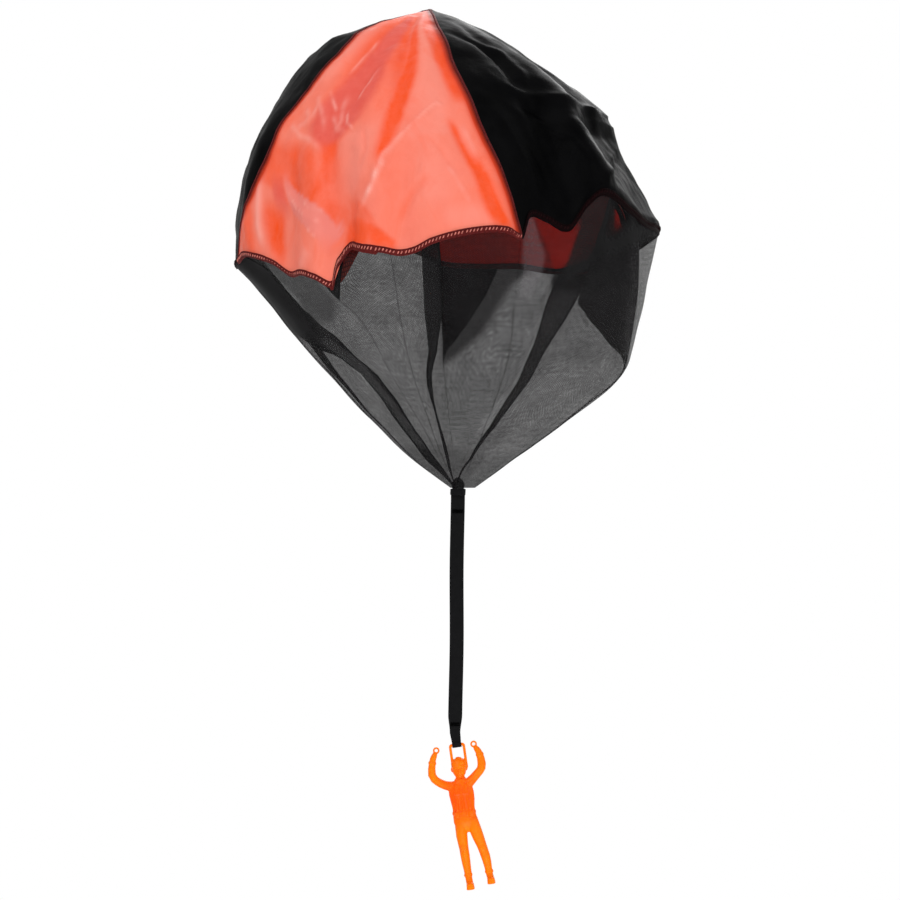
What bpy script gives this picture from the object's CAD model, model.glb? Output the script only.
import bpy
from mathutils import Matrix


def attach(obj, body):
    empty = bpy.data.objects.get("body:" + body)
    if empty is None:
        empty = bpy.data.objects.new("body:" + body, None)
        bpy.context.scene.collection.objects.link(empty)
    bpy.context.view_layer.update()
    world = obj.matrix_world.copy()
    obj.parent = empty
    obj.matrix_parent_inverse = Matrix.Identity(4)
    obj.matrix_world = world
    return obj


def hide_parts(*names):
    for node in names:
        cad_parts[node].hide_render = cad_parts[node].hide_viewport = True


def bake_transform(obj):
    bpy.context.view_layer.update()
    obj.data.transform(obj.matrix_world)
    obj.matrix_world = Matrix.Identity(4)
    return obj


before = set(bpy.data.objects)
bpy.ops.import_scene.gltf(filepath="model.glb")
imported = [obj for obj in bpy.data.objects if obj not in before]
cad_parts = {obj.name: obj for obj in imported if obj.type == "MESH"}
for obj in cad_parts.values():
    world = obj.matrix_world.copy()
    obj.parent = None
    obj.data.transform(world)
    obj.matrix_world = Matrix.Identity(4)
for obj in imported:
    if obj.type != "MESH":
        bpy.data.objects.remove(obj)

"""A toy parachute, dressed: nylon gores with their folds, an overlocked hem, a tulle skirt drawn
into a gather, a woven strap and a moulded plastic jumper.

Metres, +Z up, front towards -Y, origin at the apex. Azimuths are in degrees round the canopy,
from the front towards +X."""

from bisect import bisect_right
from math import asin, cos, degrees, exp, pi, radians, sin, tau

import bmesh
import bpy
from mathutils import Matrix, Vector, noise

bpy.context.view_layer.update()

# ------------------------------------------------------------------ sizes, as in the solids
HEM_RADIUS = 0.120
CANOPY_DROP = 0.142
HEM_OFFSET = 0.0102
FOLD_DEPTH = 0.0042
SKIRT_END_DROP = 0.2715
SKIRT_END_RADIUS = 0.0043
SKIRT_TAIL_REACH = 0.0054
PLEAT_DEPTH = 0.0060
GATHER_OFFSET = 0.0159
BUNCH_RADIUS = 0.0029
BUNCH_RISE = 0.0060
WHIPPING_HEIGHT = 0.0040
WHIPPING_THICKNESS = 0.0011
STRAP_WIDTH = 0.0080
STRAP_THICKNESS = 0.0012
STRAP_FOOT_WIDTH = 0.0060
STRAP_LEAN_DEGREES = 0.7
EYE_DROP = 0.0070
EYE_WIDTH = 0.0052
EYE_WALL = 0.0008
JUMPER_TILT_DEGREES = 8
JUMPER_HEIGHT = 0.0738
CROWN_DROP = 0.0074
LOOP_WIRE_RADIUS = 0.0008
LOOP_INNER_WIDTH = 0.0062
LOOP_CORNER_RADIUS = 0.0011
HAND_RING_RADIUS = 0.00145
HAND_WIRE_RADIUS = 0.00055
CLEARANCE = 0.0003

# Where the strap's stretches meet, on its line under the gather.
TWIST_POINT = Vector((0.0159, 0, -0.2761))
SWING_POINT = Vector((0.01574, 0, -0.2891))
FOLD_POINT = Vector((0.01502, 0, -0.34809))
ROCK_POINT = Vector((0.01426, 0, -0.41039))
BAR_POINT = Vector((0.01523, 0, -0.41732))

# The cloth of the scene is thinner than its solids.
NYLON = 0.00025
GORE_LENGTH = 0.205
SKIRT_LENGTH = 0.165
OVERLOCK_RISE = 0.0016
OVERLOCK_FALL = 0.0021
STITCH_PITCH = 0.0020

FULL_TURN = 360
GORES = ("front", "right", "rear", "left")

CANOPY_RADIUS_SHARES = (0.0, 0.235, 0.44, 0.61, 0.75, 0.85, 0.92, 0.975, 1.0)
CANOPY_DROP_SHARES = (0.0, 0.056, 0.135, 0.246, 0.373, 0.51, 0.65, 0.82, 1.0)
CANOPY_MOVE_SHARES = (0.0, -0.36, -0.5, -0.1, 0.35, 0.45, 0.6, 0.85, 1.0)
CANOPY_SEAM_SHARES = (
    (0.0, -60, 12, 110, 212), (0.25, -41, 12, 110, 210), (0.45, -48, 8.5, 110, 207),
    (0.6, -55.6, 11, 109, 203), (0.7, -57, 12.5, 109, 201), (0.85, -61, 15.5, 108, 199),
    (1.0, -71.5, 18.7, 108, 198),
)
HEM_WAVE_SHARES = (
    (-72, 1.02, 1.03), (-65, 1.03, 1.01), (-59, 1.03, 1.02), (-52, 1.00, 1.05),
    (-46, 0.975, 1.10), (-40, 1.01, 1.10), (-35, 1.02, 1.12), (-30, 0.99, 1.15),
    (-26, 0.97, 1.06), (-22, 1.02, 1.03), (-17, 1.03, 1.027), (-12, 1.01, 1.04),
    (-8, 1.02, 1.03), (-4, 1.03, 1.00), (3, 1.04, 0.97), (10, 1.05, 0.955),
    (14.5, 1.04, 0.957), (18.7, 1.01, 0.975), (22, 0.96, 0.89), (28, 0.93, 0.90),
    (35, 0.94, 0.93), (39, 0.98, 0.84), (44, 1.00, 0.79), (56, 0.99, 0.84),
    (68, 0.98, 0.88), (80, 0.99, 0.885), (95, 1.00, 0.89), (108, 0.97, 0.93),
    (122, 0.96, 0.98), (137, 0.97, 1.007), (148, 0.95, 0.995), (158, 0.98, 0.97),
    (170, 1.00, 0.965), (181, 0.975, 0.955), (190, 0.98, 0.90), (198, 0.99, 0.88),
    (212, 1.01, 0.875), (228, 0.98, 0.895), (243, 1.00, 0.96), (258, 1.03, 1.01),
    (272, 1.00, 1.03),
)
HEM_WAVE_START_SHARE = 0.45
CANOPY_FOLD_SHARES = (
    (-5, -17, 5, -1.0, 0.08, 0.75), (3, -22, 4, 0.8, 0.25, 0.92),
    (-15, -42, 8, -1.1, 0.08, 0.68), (-48, -27, 4, -0.8, 0.55, 0.95),
    (-63, -63, 5, 0.8, 0.55, 1.0), (30, 36, 6, -1.0, 0.15, 0.98),
    (48, 44, 7, 0.9, 0.30, 1.0), (66, 58, 6, -0.9, 0.30, 0.95),
    (84, 82, 8, 1.0, 0.35, 1.0), (130, 140, 9, -0.9, 0.20, 0.98),
    (165, 170, 9, 0.8, 0.25, 1.0), (225, 222, 8, -0.9, 0.20, 0.95),
    (255, 258, 9, 0.9, 0.30, 1.0), (88, 88, 38, -2.4, 0.565, 0.975),
    (88, 88, 45, -2.2, 0.02, 0.61), (-62, -62, 28, -1.4, 0.02, 0.26),
)
TAUT_RADIUS_SHARES = (1.0, 0.915, 0.83, 0.735, 0.625, 0.50, 0.37, 0.20, 0.0)
TAUT_DROP_SHARES = (0.0, 0.085, 0.19, 0.31, 0.445, 0.58, 0.71, 0.865, 1.0)
SLACK_RADIUS_SHARES = (1.0, 0.945, 0.89, 0.84, 0.785, 0.62, 0.41, 0.20, 0.0)
SLACK_DROP_SHARES = (0.0, 0.14, 0.28, 0.40, 0.51, 0.63, 0.76, 0.885, 1.0)
SLACK_AZIMUTH = 88
SKIRT_WAVE_END_SHARE = 0.45
SKIRT_FOLD_SHARES = (
    (-60, -60, 7, -0.9, 0.0, 0.95), (-30, -34, 6, 0.7, 0.0, 0.9),
    (-2, -8, 5, -1.0, 0.02, 0.95), (34, 26, 7, -0.8, 0.05, 0.95),
    (60, 66, 8, 0.6, 0.05, 0.85), (146, 140, 6, -1.0, 0.0, 0.95),
    (176, 182, 8, 0.6, 0.05, 0.9), (226, 222, 8, -0.8, 0.05, 0.9),
    (258, 262, 7, 0.7, 0.05, 0.9),
)
HEART_DROP_SHARE = 0.92

# Fine creases of the canopy: depth in millimetres (outwards), half width in millimetres, how
# far its colour goes to deep, pink and pale, then its line as (along, azimuth) points.
CREASES = (
    # Front gore, from the apex down.
    (-1.8, 9.0, 0.0, 0.0, 0.0, ((0.13, -8), (0.27, -15), (0.385, -22), (0.49, -28), (0.56, -31.5), (0.64, -34))),
    (0.9, 5.0, 0.0, 0.0, 0.20, ((0.14, -22), (0.27, -30), (0.40, -38), (0.50, -44))),
    (-1.3, 4.6, 0.0, 0.0, 0.0, ((0.20, 1), (0.335, -5), (0.46, -10.1), (0.575, -12.2), (0.68, -14.4), (0.76, -16.5))),
    (1.0, 4.0, 0.0, 0.0, 0.15, ((0.16, 5), (0.30, 2), (0.44, -2), (0.55, -5))),
    (-0.8, 4.0, 0.0, 0.0, 0.0, ((0.12, 9), (0.28, 7), (0.42, 6), (0.55, 6))),
    (-1.1, 3.6, 0.0, 0.0, 0.0, ((0.66, 3.8), (0.71, 5.2), (0.77, 7), (0.845, 9.6), (0.91, 11), (0.985, 14))),
    (1.1, 1.5, 0.0, 0.0, 0.42, ((0.825, -18.7), (0.755, -14.7), (0.685, -9.6), (0.625, -3.5), (0.595, 0.0), (0.625, 3.5))),
    (0.8, 12.0, 0.0, 0.0, 0.15, ((0.66, -6), (0.74, -3), (0.84, -2), (0.93, -2))),
    (0.9, 1.5, 0.0, 0.0, 0.85, ((0.765, -14.7), (0.805, -16.7), (0.85, -18.9), (0.89, -21.2))),
    (-0.9, 3.0, 0.0, 0.0, 0.0, ((0.78, -18.0), (0.83, -20.5), (0.90, -25))),
    (0.7, 9.0, 0.0, 0.0, 0.15, ((0.68, -24), (0.76, -27), (0.84, -27))),
    (0.9, 1.5, 0.0, 0.0, 0.60, ((0.80, -49.1), (0.83, -45.8), (0.85, -43.0), (0.878, -34.5), (0.89, -29.8))),
    (-0.9, 5.5, 0.0, 0.0, 0.0, ((0.80, -47), (0.835, -41), (0.86, -34.5), (0.875, -30.5))),
    (0.5, 1.1, 0.0, 0.0, 0.60, ((0.825, -42), (0.85, -38), (0.853, -34), (0.87, -31))),
    (0.4, 1.0, 0.0, 0.2, 0.55, ((0.84, -44.5), (0.865, -40), (0.90, -37.5), (0.915, -33.9))),
    (0.4, 0.9, 0.0, 0.0, 0.55, ((0.855, -41), (0.875, -38.5), (0.88, -35.5))),
    (0.7, 1.8, 0.0, 0.0, 0.40, ((0.625, -51.6), (0.66, -46), (0.672, -42), (0.71, -36))),
    (0.6, 1.8, 0.0, 0.2, 0.36, ((0.64, -49), (0.62, -45), (0.60, -42.5), (0.56, -41))),
    (0.6, 1.7, 0.0, 0.1, 0.33, ((0.535, -43), (0.56, -41.5), (0.60, -38.6), (0.655, -36.5))),
    (0.6, 1.7, 0.0, 0.0, 0.33, ((0.54, -31.9), (0.58, -32.4), (0.62, -31.6), (0.655, -33))),
    (0.6, 1.6, 0.0, 0.1, 0.33, ((0.60, -35.4), (0.645, -32.5), (0.665, -28))),
    (0.6, 1.6, 0.0, 0.0, 0.30, ((0.575, -46.5), (0.60, -44), (0.63, -43.6))),
    (0.5, 1.0, 0.0, 0.0, 0.50, ((0.59, -30.2), (0.63, -28.8), (0.665, -25.5))),
    (0.5, 1.0, 0.0, 0.0, 0.50, ((0.52, -38.5), (0.56, -36.2), (0.59, -34.4))),
    (-0.8, 4.0, 0.0, 0.0, 0.0, ((0.63, -50), (0.66, -43.5), (0.70, -36))),
    (0.7, 5.0, 0.0, 0.0, 0.0, ((0.90, -62), (0.95, -60.5), (0.985, -58))),
    (-1.1, 5.5, 0.0, 0.0, 0.0, ((0.86, -52), (0.92, -51), (0.985, -49))),
    (-0.9, 5.0, 0.0, 0.0, 0.0, ((0.905, -29), (0.94, -24), (0.965, -18.2), (0.97, -13), (0.955, -8))),
    (-0.8, 5.5, 0.0, 0.0, 0.0, ((0.70, -54), (0.76, -51), (0.80, -45), (0.80, -36), (0.77, -32))),
    (0.6, 3.0, 0.0, 0.0, 0.0, ((0.42, -41), (0.52, -46), (0.62, -53), (0.75, -56))),
    (0.7, 2.0, 0.0, 0.0, 0.55, ((0.78, -57.8), (0.855, -57.2), (0.915, -56.6), (0.975, -55.4))),
    (0.6, 1.6, 0.0, 0.0, 0.30, ((0.80, 1), (0.87, 3.5), (0.94, 6.5))),
    (-0.6, 2.4, 0.30, 0.0, 0.0, ((0.83, -3), (0.86, -8), (0.93, -12))),
    (0.5, 4.0, 0.0, 0.0, 0.25, ((0.94, -37.5), (0.965, -39), (0.99, -40.5))),
    (0.6, 2.4, 0.0, 0.2, 0.0, ((0.10, 2), (0.22, -1), (0.33, -7), (0.45, -17))),
    (0.4, 1.0, 0.0, 0.0, 0.40, ((0.30, -24), (0.38, -28.5), (0.46, -33.5))),
    (0.4, 0.9, 0.0, 0.0, 0.40, ((0.44, -21), (0.52, -26), (0.56, -27.2))),
    (-0.5, 1.4, 0.20, 0.0, 0.0, ((0.70, -4), (0.76, 0), (0.83, 2.4))),
    (-0.5, 1.4, 0.20, 0.0, 0.0, ((0.66, -22), (0.74, -20.4), (0.80, -22.6))),
    # Right gore.
    (-1.6, 3.2, 0.0, 0.0, 0.0, ((0.275, 16.2), (0.325, 25.8), (0.40, 30.5), (0.455, 29.8), (0.56, 28.3))),
    (1.6, 4.0, 0.0, 0.0, 0.0, ((0.30, 24), (0.37, 36), (0.45, 36), (0.52, 34))),
    (2.2, 4.0, 0.0, 0.0, 0.0, ((0.515, 22.2), (0.545, 30.3), (0.555, 43.5), (0.57, 62), (0.59, 80))),
    (-2.2, 5.0, 0.0, 0.0, 0.0, ((0.57, 25), (0.61, 36), (0.64, 50), (0.66, 66), (0.66, 80))),
    (1.5, 2.6, 0.0, 0.0, 0.0, ((0.605, 31.8), (0.70, 36.5), (0.76, 39.9), (0.865, 41.4), (0.95, 41.4))),
    (1.3, 2.6, 0.0, 0.0, 0.0, ((0.70, 80), (0.78, 66), (0.88, 52), (0.93, 47), (0.99, 45))),
    (-1.2, 3.0, 0.0, 0.0, 0.0, ((0.76, 72), (0.84, 60), (0.95, 51))),
    (0.8, 3.0, 0.0, 0.0, 0.0, ((0.60, 17), (0.72, 21), (0.85, 24), (0.97, 27))),
    (-0.8, 3.4, 0.0, 0.0, 0.0, ((0.56, 20), (0.68, 25), (0.82, 29), (0.95, 32))),
    (0.9, 3.6, 0.0, 0.0, 0.0, ((0.15, 60), (0.30, 66), (0.46, 70))),
    # Rear gore.
    (-1.2, 5.0, 0.0, 0.0, 0.0, ((0.15, 150), (0.36, 146), (0.56, 150), (0.72, 148))),
    (-1.2, 6.0, 0.0, 0.0, 0.0, ((0.20, 178), (0.42, 172), (0.60, 166), (0.72, 168))),
    (0.8, 1.4, 0.0, 0.0, 0.8, ((0.70, 160), (0.78, 157), (0.88, 153))),
    (0.8, 2.4, 0.0, 0.0, 0.4, ((0.72, 172), (0.62, 176), (0.57, 183), (0.60, 190))),
    (-0.8, 5.0, 0.0, 0.0, 0.0, ((0.90, 128), (0.93, 140), (0.95, 152))),
    (-0.8, 4.5, 0.0, 0.0, 0.0, ((0.63, 186), (0.80, 187), (0.96, 188))),
    (0.5, 0.9, 0.0, 0.0, 0.6, ((0.60, 124), (0.65, 130), (0.68, 137))),
    (-0.7, 4.0, 0.0, 0.0, 0.0, ((0.60, 128), (0.66, 135), (0.70, 140))),
    (0.6, 1.0, 0.0, 0.0, 0.6, ((0.84, 124), (0.875, 133), (0.88, 141))),
    # Left gore.
    (-1.4, 3.6, 0.0, 0.0, 0.0, ((0.25, 232), (0.38, 240), (0.55, 238), (0.72, 242))),
    (1.4, 4.0, 0.0, 0.0, 0.0, ((0.45, 214), (0.50, 228), (0.54, 248), (0.60, 268))),
    (-1.5, 4.6, 0.0, 0.0, 0.0, ((0.56, 216), (0.60, 232), (0.64, 250), (0.70, 270))),
    (1.2, 2.8, 0.0, 0.0, 0.0, ((0.66, 262), (0.78, 250), (0.90, 238), (0.98, 234))),
    (0.9, 3.0, 0.0, 0.0, 0.0, ((0.62, 210), (0.76, 214), (0.90, 217))),
)

# Where the nylon is drawn to a deeper, pinker or paler colour: those three shares, how soft its
# sides are in degrees, then the patch as (along, first, last azimuth).
NYLON_PATCHES = (
    # The long hollow from the apex, the fold beside it, and the lit cloth between its folds.
    (0.0, 0.95, 0.0, 5.5, ((0.14, -13, -8), (0.255, -21.5, -9.6), (0.335, -25.5, -13.2), (0.42, -30.5, -17.2),
                          (0.495, -35, -19.7), (0.57, -40.5, -21.8), (0.63, -42.5, -24.3), (0.665, -41, -29), (0.70, -37, -34.5))),
    (1.0, 0.0, 0.0, 3.6, ((0.20, -2.6, -0.6), (0.30, -6, -2.0), (0.42, -10.6, -4.8), (0.50, -14, -7.2),
                          (0.575, -14.8, -9.2), (0.64, -15.8, -10.4), (0.70, -16.4, -12.6), (0.77, -17.4, -15.4))),
    (1.0, 0.0, 0.0, 3.6, ((0.10, 2, 15), (0.29, 1.8, 13.5), (0.42, 2, 12), (0.505, 3, 10.5), (0.58, 5, 10.5))),
    (1.0, 0.0, 0.0, 2.6, ((0.66, 2.6, 4.2), (0.71, 3.8, 6.3), (0.77, 5.3, 8.3), (0.845, 7.4, 11),
                          (0.90, 8.6, 12), (0.95, 9.8, 13.6), (0.99, 10.8, 15.8))),
    (0.0, 0.0, 0.16, 5.0, ((0.66, -28, -17), (0.735, -33, -18), (0.80, -33.5, -20), (0.86, -30, -25))),
    (0.0, 0.0, 0.25, 1.5, ((0.69, 5.2, 7.8), (0.74, 6, 8.8), (0.80, 8, 9.4))),
    (0.0, 0.0, 0.18, 4.0, ((0.92, -1, 7), (0.96, 0, 10), (0.99, 2, 12.6))),
    (0.0, 0.0, 0.20, 5.0, ((0.16, 0, 4), (0.30, -1, 3), (0.48, -5, 2), (0.60, -9, 3), (0.72, -10, 3))),
    # Low on the left: deeper cloth round a crumpled, pinker patch.
    (0.62, 0.0, 0.0, 6.0, ((0.69, -57, -39), (0.755, -58, -35), (0.805, -57, -33), (0.85, -46, -31))),
    (0.0, 0.85, 0.34, 1.5, ((0.785, -50, -48.5), (0.805, -49.5, -46), (0.83, -48, -39.4), (0.845, -46.5, -34.4),
                            (0.86, -45, -31.9), (0.885, -40.5, -28.3), (0.90, -37.5, -28.3), (0.915, -34.5, -31))),
    (0.0, 0.75, 0.0, 2.0, ((0.795, -53.6, -49.5), (0.83, -53, -48), (0.86, -51.6, -46.5))),
    (0.60, 0.0, 0.0, 2.0, ((0.86, -62, -59.6), (0.90, -67, -58.8), (0.96, -67, -58.2), (1.0, -67, -57.6))),
    (0.85, 0.0, 0.0, 3.4, ((0.86, -55.2, -48.5), (0.91, -54.7, -48.5), (0.95, -53.6, -48.3), (0.985, -51.5, -48.3))),
    (0.85, 0.0, 0.0, 3.0, ((0.90, -28, -25), (0.94, -28, -17.7), (0.97, -27.5, -13.2), (0.995, -27, -12.7))),
    (0.55, 0.0, 0.0, 2.0, ((0.865, -26.6, -23), (0.89, -26.4, -20.2), (0.92, -25, -18.2), (0.95, -24, -17))),
    # Rear gore.
    (0.0, 0.75, 0.0, 7.0, ((0.20, 172, 182), (0.40, 166, 178), (0.60, 160, 174), (0.72, 162, 172))),
    (0.7, 0.0, 0.0, 6.0, ((0.15, 144, 152), (0.36, 142, 150), (0.56, 146, 154), (0.72, 145, 151))),
    (0.6, 0.0, 0.0, 7.0, ((0.52, 182, 184), (0.66, 181, 188), (0.80, 182, 191), (0.92, 186, 192), (0.99, 189, 192))),
    (0.7, 0.0, 0.0, 5.0, ((0.88, 122, 132), (0.93, 132, 146), (0.96, 142, 156))),
    (0.0, 0.45, 0.30, 2.0, ((0.60, 124, 130), (0.66, 126, 138), (0.72, 132, 142))),
)

# The skirt's pleats, each three layers of tulle: the panel it is in, then its two edges as
# (along, first azimuth, last azimuth) points.
PLEATS = (
    ("front", ((0.0, -79, -66), (0.10, -84, -59), (0.20, -88, -61), (0.30, -90, -60), (0.36, -88, -54),
               (0.41, -80, -47), (0.455, -72, -44.5), (0.50, -56, -42), (0.56, -47, -33.4), (0.66, -44, -30.3),
               (0.785, -44, -30.3), (0.85, -43.5, -27.8), (0.90, -43.5, -24.3), (0.97, -35.4, -21.2), (1.0, -33, -20))),
    ("front", ((0.0, -33, -27), (0.06, -33, -29.5), (0.13, -32.2, -31), (0.17, -31.6, -31.5), (1.0, -20, -19.9))),
    ("front", ((0.0, -6.4, -2), (0.13, -7.1, -2), (0.29, -8.1, -2.5), (0.46, -8.6, -5.6), (0.55, -11.1, -8.8),
               (0.60, -12.1, -9.6), (0.65, -12, -10.2), (0.71, -11.6, -10.2), (0.825, -12.1, -8.7),
               (0.88, -13, -8.8), (0.96, -16.5, -11.6), (1.0, -18, -12))),
    ("right", ((0.0, 47, 61), (0.07, 46, 66.2), (0.115, 44.5, 68.7), (0.16, 43.5, 70.3), (0.205, 42, 71.8),
               (0.26, 40.4, 73.4), (0.305, 45.5, 75.2), (0.34, 52.1, 76.2), (0.385, 58.1, 77.3),
               (0.44, 70.8, 79.5), (0.47, 79, 80.6), (0.52, 81, 81.1), (1.0, 81, 81.1))),
    ("rear", ((0.0, 132.4, 143.9), (0.04, 133, 144.2), (0.11, 135, 145.4), (0.21, 138.4, 147), (0.30, 141.4, 149.1),
              (0.44, 145.8, 152.7), (0.575, 149.8, 154.9), (0.735, 153, 157.6), (0.87, 161, 165), (0.975, 176, 181),
              (1.0, 178, 183))),
    ("rear", ((0.0, 165, 183), (0.03, 165.3, 183), (0.14, 168.4, 183), (0.27, 174.4, 183), (0.345, 178.2, 183),
              (0.40, 181.6, 183.2), (0.45, 183.2, 183.4), (0.52, 183.4, 183.5), (0.86, 183.4, 183.5), (1.0, 191, 191.1))),
    ("left", ((0.0, 246, 252), (0.25, 247, 254), (0.5, 249, 254), (0.7, 251, 252), (0.8, 252, 252.1), (1.0, 252, 252.1))),
)
# Where the tulle is bunched denser or drawn thinner, or catches the light: those three
# shares, how soft its sides are in degrees, then the patch as (along, first, last azimuth).
TULLE_PATCHES = (
    (0.93, 0.0, 0.0, 1.5, ((0.0, 36.4, 47.5), (0.055, 37.9, 48), (0.115, 35.9, 47), (0.14, 33.4, 46), (0.16, 31.5, 44))),
    (0.55, 0.0, 0.0, 2.0, ((0.0, 57, 66), (0.07, 56, 67), (0.16, 46, 66), (0.22, 42, 52))),
    (0.0, 0.22, 0.0, 2.0, ((0.0, 23, 36), (0.055, 27, 37.5), (0.115, 31, 36), (0.15, 33, 34))),
    (0.1, 0.0, 1.0, 2.0, ((0.0, 19.3, 22.5), (0.065, 19.7, 26.0), (0.105, 19.9, 28.5), (0.16, 21, 28), (0.24, 20, 24))),
    (0.0, 0.12, 0.0, 3.0, ((0.0, 68, 112), (0.07, 67, 107), (0.16, 71, 103), (0.31, 76, 98), (0.46, 82, 93))),
    (0.75, 0.0, 0.0, 1.2, ((0.0, 132, 145), (0.04, 132.6, 145.4), (0.075, 133.5, 146))),
    (0.0, 0.12, 0.0, 1.0, ((0.07, 135.5, 144), (0.26, 141, 148), (0.56, 149.8, 156.2), (0.80, 159.5, 166.5))),
    (0.97, 0.0, 0.0, 1.6, ((0.0, 68, 92), (0.025, 61.7, 80.4), (0.05, 57.5, 70.3), (0.095, 50.5, 60), (0.12, 44, 54.6),
                          (0.14, 36, 50), (0.16, 31.8, 47), (0.18, 32, 43), (0.195, 33, 34))),
    (0.0, 0.60, 0.0, 1.5, ((0.0, 51, 57), (0.03, 49.5, 56), (0.075, 50.5, 52.5))),
    (0.94, 0.0, 0.0, 2.0, ((0.0, -86, -60.5), (0.04, -88, -60.2), (0.205, -92, -62.7), (0.32, -92, -64.5), (0.42, -92, -66))),
    (0.94, 0.0, 0.0, 2.0, ((0.0, 262, 298), (0.20, 262, 298), (0.42, 264, 298))),
    (0.55, 0.0, 0.0, 5.0, ((0.0, -60, -34), (0.175, -60, -34), (0.25, -58, -36), (0.36, -64, -44))),
    (0.10, 0.0, 0.0, 6.0, ((0.24, 30, 48), (0.50, 28, 46))),
    (0.84, 0.0, 0.0, 4.5, ((0.0, 153, 183.5), (0.085, 160, 183.5), (0.20, 164.5, 183.5), (0.30, 169.3, 183.5),
                          (0.385, 175.5, 183.5), (0.47, 183, 184))),
    (0.0, 0.22, 0.0, 1.6, ((0.42, -68, -52), (0.52, -50, -40), (0.66, -41, -33), (0.85, -40.5, -30.5))),
    (0.0, 0.10, 0.0, 5.0, ((0.45, 35, 84), (0.62, 34, 84), (0.80, 34, 84), (0.95, 30, 84))),
    (0.0, 0.06, 0.0, 5.0, ((0.15, -30, -10), (0.40, -40, -12), (0.60, -28, -14), (0.80, -26, -14))),
    (0.30, 0.0, 0.0, 3.0, ((0.84, -80, 80), (0.97, -80, 80), (1.0, -80, 80))),
)
# Soft folds of the tulle, as creases: depth and half width in millimetres, then the line.
TULLE_FOLDS = (
    (1.2, 2.6, ((0.0, 24), (0.12, 21), (0.30, 13), (0.45, 9.5), (0.62, 11))),
    (-1.2, 2.4, ((0.0, 28), (0.14, 24.5), (0.30, 16.5), (0.48, 12.5), (0.66, 12))),
    (1.0, 2.0, ((0.0, 31.5), (0.16, 27.5), (0.32, 20), (0.50, 15), (0.75, 14))),
    (0.9, 1.6, ((0.50, 8.6), (0.60, 7.4), (0.72, 8.2), (0.86, 6))),
    (0.9, 1.4, ((0.605, -6.6), (0.75, -9.0), (0.88, -12.7))),
    (1.0, 2.6, ((0.10, -20), (0.28, -24), (0.50, -26), (0.74, -25))),
    (-1.0, 2.8, ((0.06, -14), (0.30, -17), (0.55, -19), (0.80, -19))),
    (1.2, 3.0, ((0.48, 40), (0.60, 44), (0.75, 46), (0.92, 40))),
    (-1.0, 3.0, ((0.45, 52), (0.60, 55), (0.78, 56), (0.93, 50))),
    (1.0, 3.0, ((0.50, 66), (0.64, 68), (0.80, 70), (0.94, 64))),
    (1.2, 3.0, ((0.04, 112), (0.30, 116), (0.60, 120), (0.90, 128))),
    (-1.2, 3.0, ((0.04, 122), (0.30, 126), (0.62, 132), (0.90, 140))),
    (1.0, 3.0, ((0.04, 204), (0.35, 206), (0.70, 208), (0.95, 208))),
    (1.2, 3.0, ((0.04, 236), (0.35, 237), (0.70, 241), (0.95, 244))),
    (-1.0, 3.0, ((0.04, 264), (0.35, 266), (0.70, 268), (0.95, 270))),
)
# How far down each azimuth's nylon goes before its stitched edge, as a share of its length.
HEM_END_SHARES = (
    (-72, 1.0), (-31.2, 1.0), (-30.6, 0.997), (-30.0, 0.972), (-29.4, 0.955), (-27.6, 0.955),
    (-25.6, 0.967), (-23.4, 0.983), (-21, 0.994), (-17, 1.0), (272, 1.0),
)


# ------------------------------------------------------------------ the cloth's surfaces
def smoothstep(share):
    share = min(max(share, 0.0), 1.0)
    return share * share * (3 - 2 * share)


def mix(first, second, share):
    return first + (second - first) * share


def curve_through(knots, values, at):
    """The value at a place on a smooth curve through the knots."""
    last = len(knots) - 1
    i = min(max(bisect_right(knots, at) - 1, 0), last - 1)

    def slope(k):
        low, high = max(k - 1, 0), min(k + 1, last)
        return (values[high] - values[low]) / (knots[high] - knots[low])

    step = knots[i + 1] - knots[i]
    t = (at - knots[i]) / step
    start, end = smoothstep(1 - t) * values[i], smoothstep(t) * values[i + 1]
    lift = t * (1 - t) * step * ((1 - t) * slope(i) - t * slope(i + 1))
    return start + end + lift


def straight_through(rows, column, at):
    """The value at a place on a line of straight runs through a table's rows."""
    knots = [row[0] for row in rows]
    i = min(max(bisect_right(knots, at) - 1, 0), len(rows) - 2)
    share = (at - knots[i]) / (knots[i + 1] - knots[i])
    return mix(rows[i][column], rows[i + 1][column], min(max(share, 0), 1))


def along_curve(shares, along):
    return curve_through([i / (len(shares) - 1) for i in range(len(shares))], shares, along)


def closed_table(rows):
    """A table of azimuths with two rows more at each end, a turn on."""
    before = [(row[0] - FULL_TURN, *row[1:]) for row in rows[-2:]]
    after = [(row[0] + FULL_TURN, *row[1:]) for row in rows[:2]]
    points = before + list(rows) + after
    return rows[0][0], [p[0] for p in points], [[p[k] for p in points] for k in range(len(rows[0]))]


HEM_TABLE = closed_table(HEM_WAVE_SHARES)


def hem_wave(column, azimuth):
    first, knots, columns = HEM_TABLE
    return curve_through(knots, columns[column], first + (azimuth - first) % FULL_TURN)


def turned_by(azimuth, other):
    half = FULL_TURN / 2
    return (azimuth - other + half) % FULL_TURN - half


def folds(rows, azimuth, along):
    total = 0.0
    for top, foot, half_width, depth, start, end in rows:
        if not start < along < end:
            continue
        across = turned_by(azimuth, mix(top, foot, along)) / half_width
        total += depth * exp(-across * across) * sin(pi * (along - start) / (end - start)) ** 0.7
    return total


HEART = Vector((HEM_OFFSET, 0, -CANOPY_DROP * HEART_DROP_SHARE))


def towards_heart(point, depth):
    return point + (HEART - point).normalized() * depth


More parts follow.
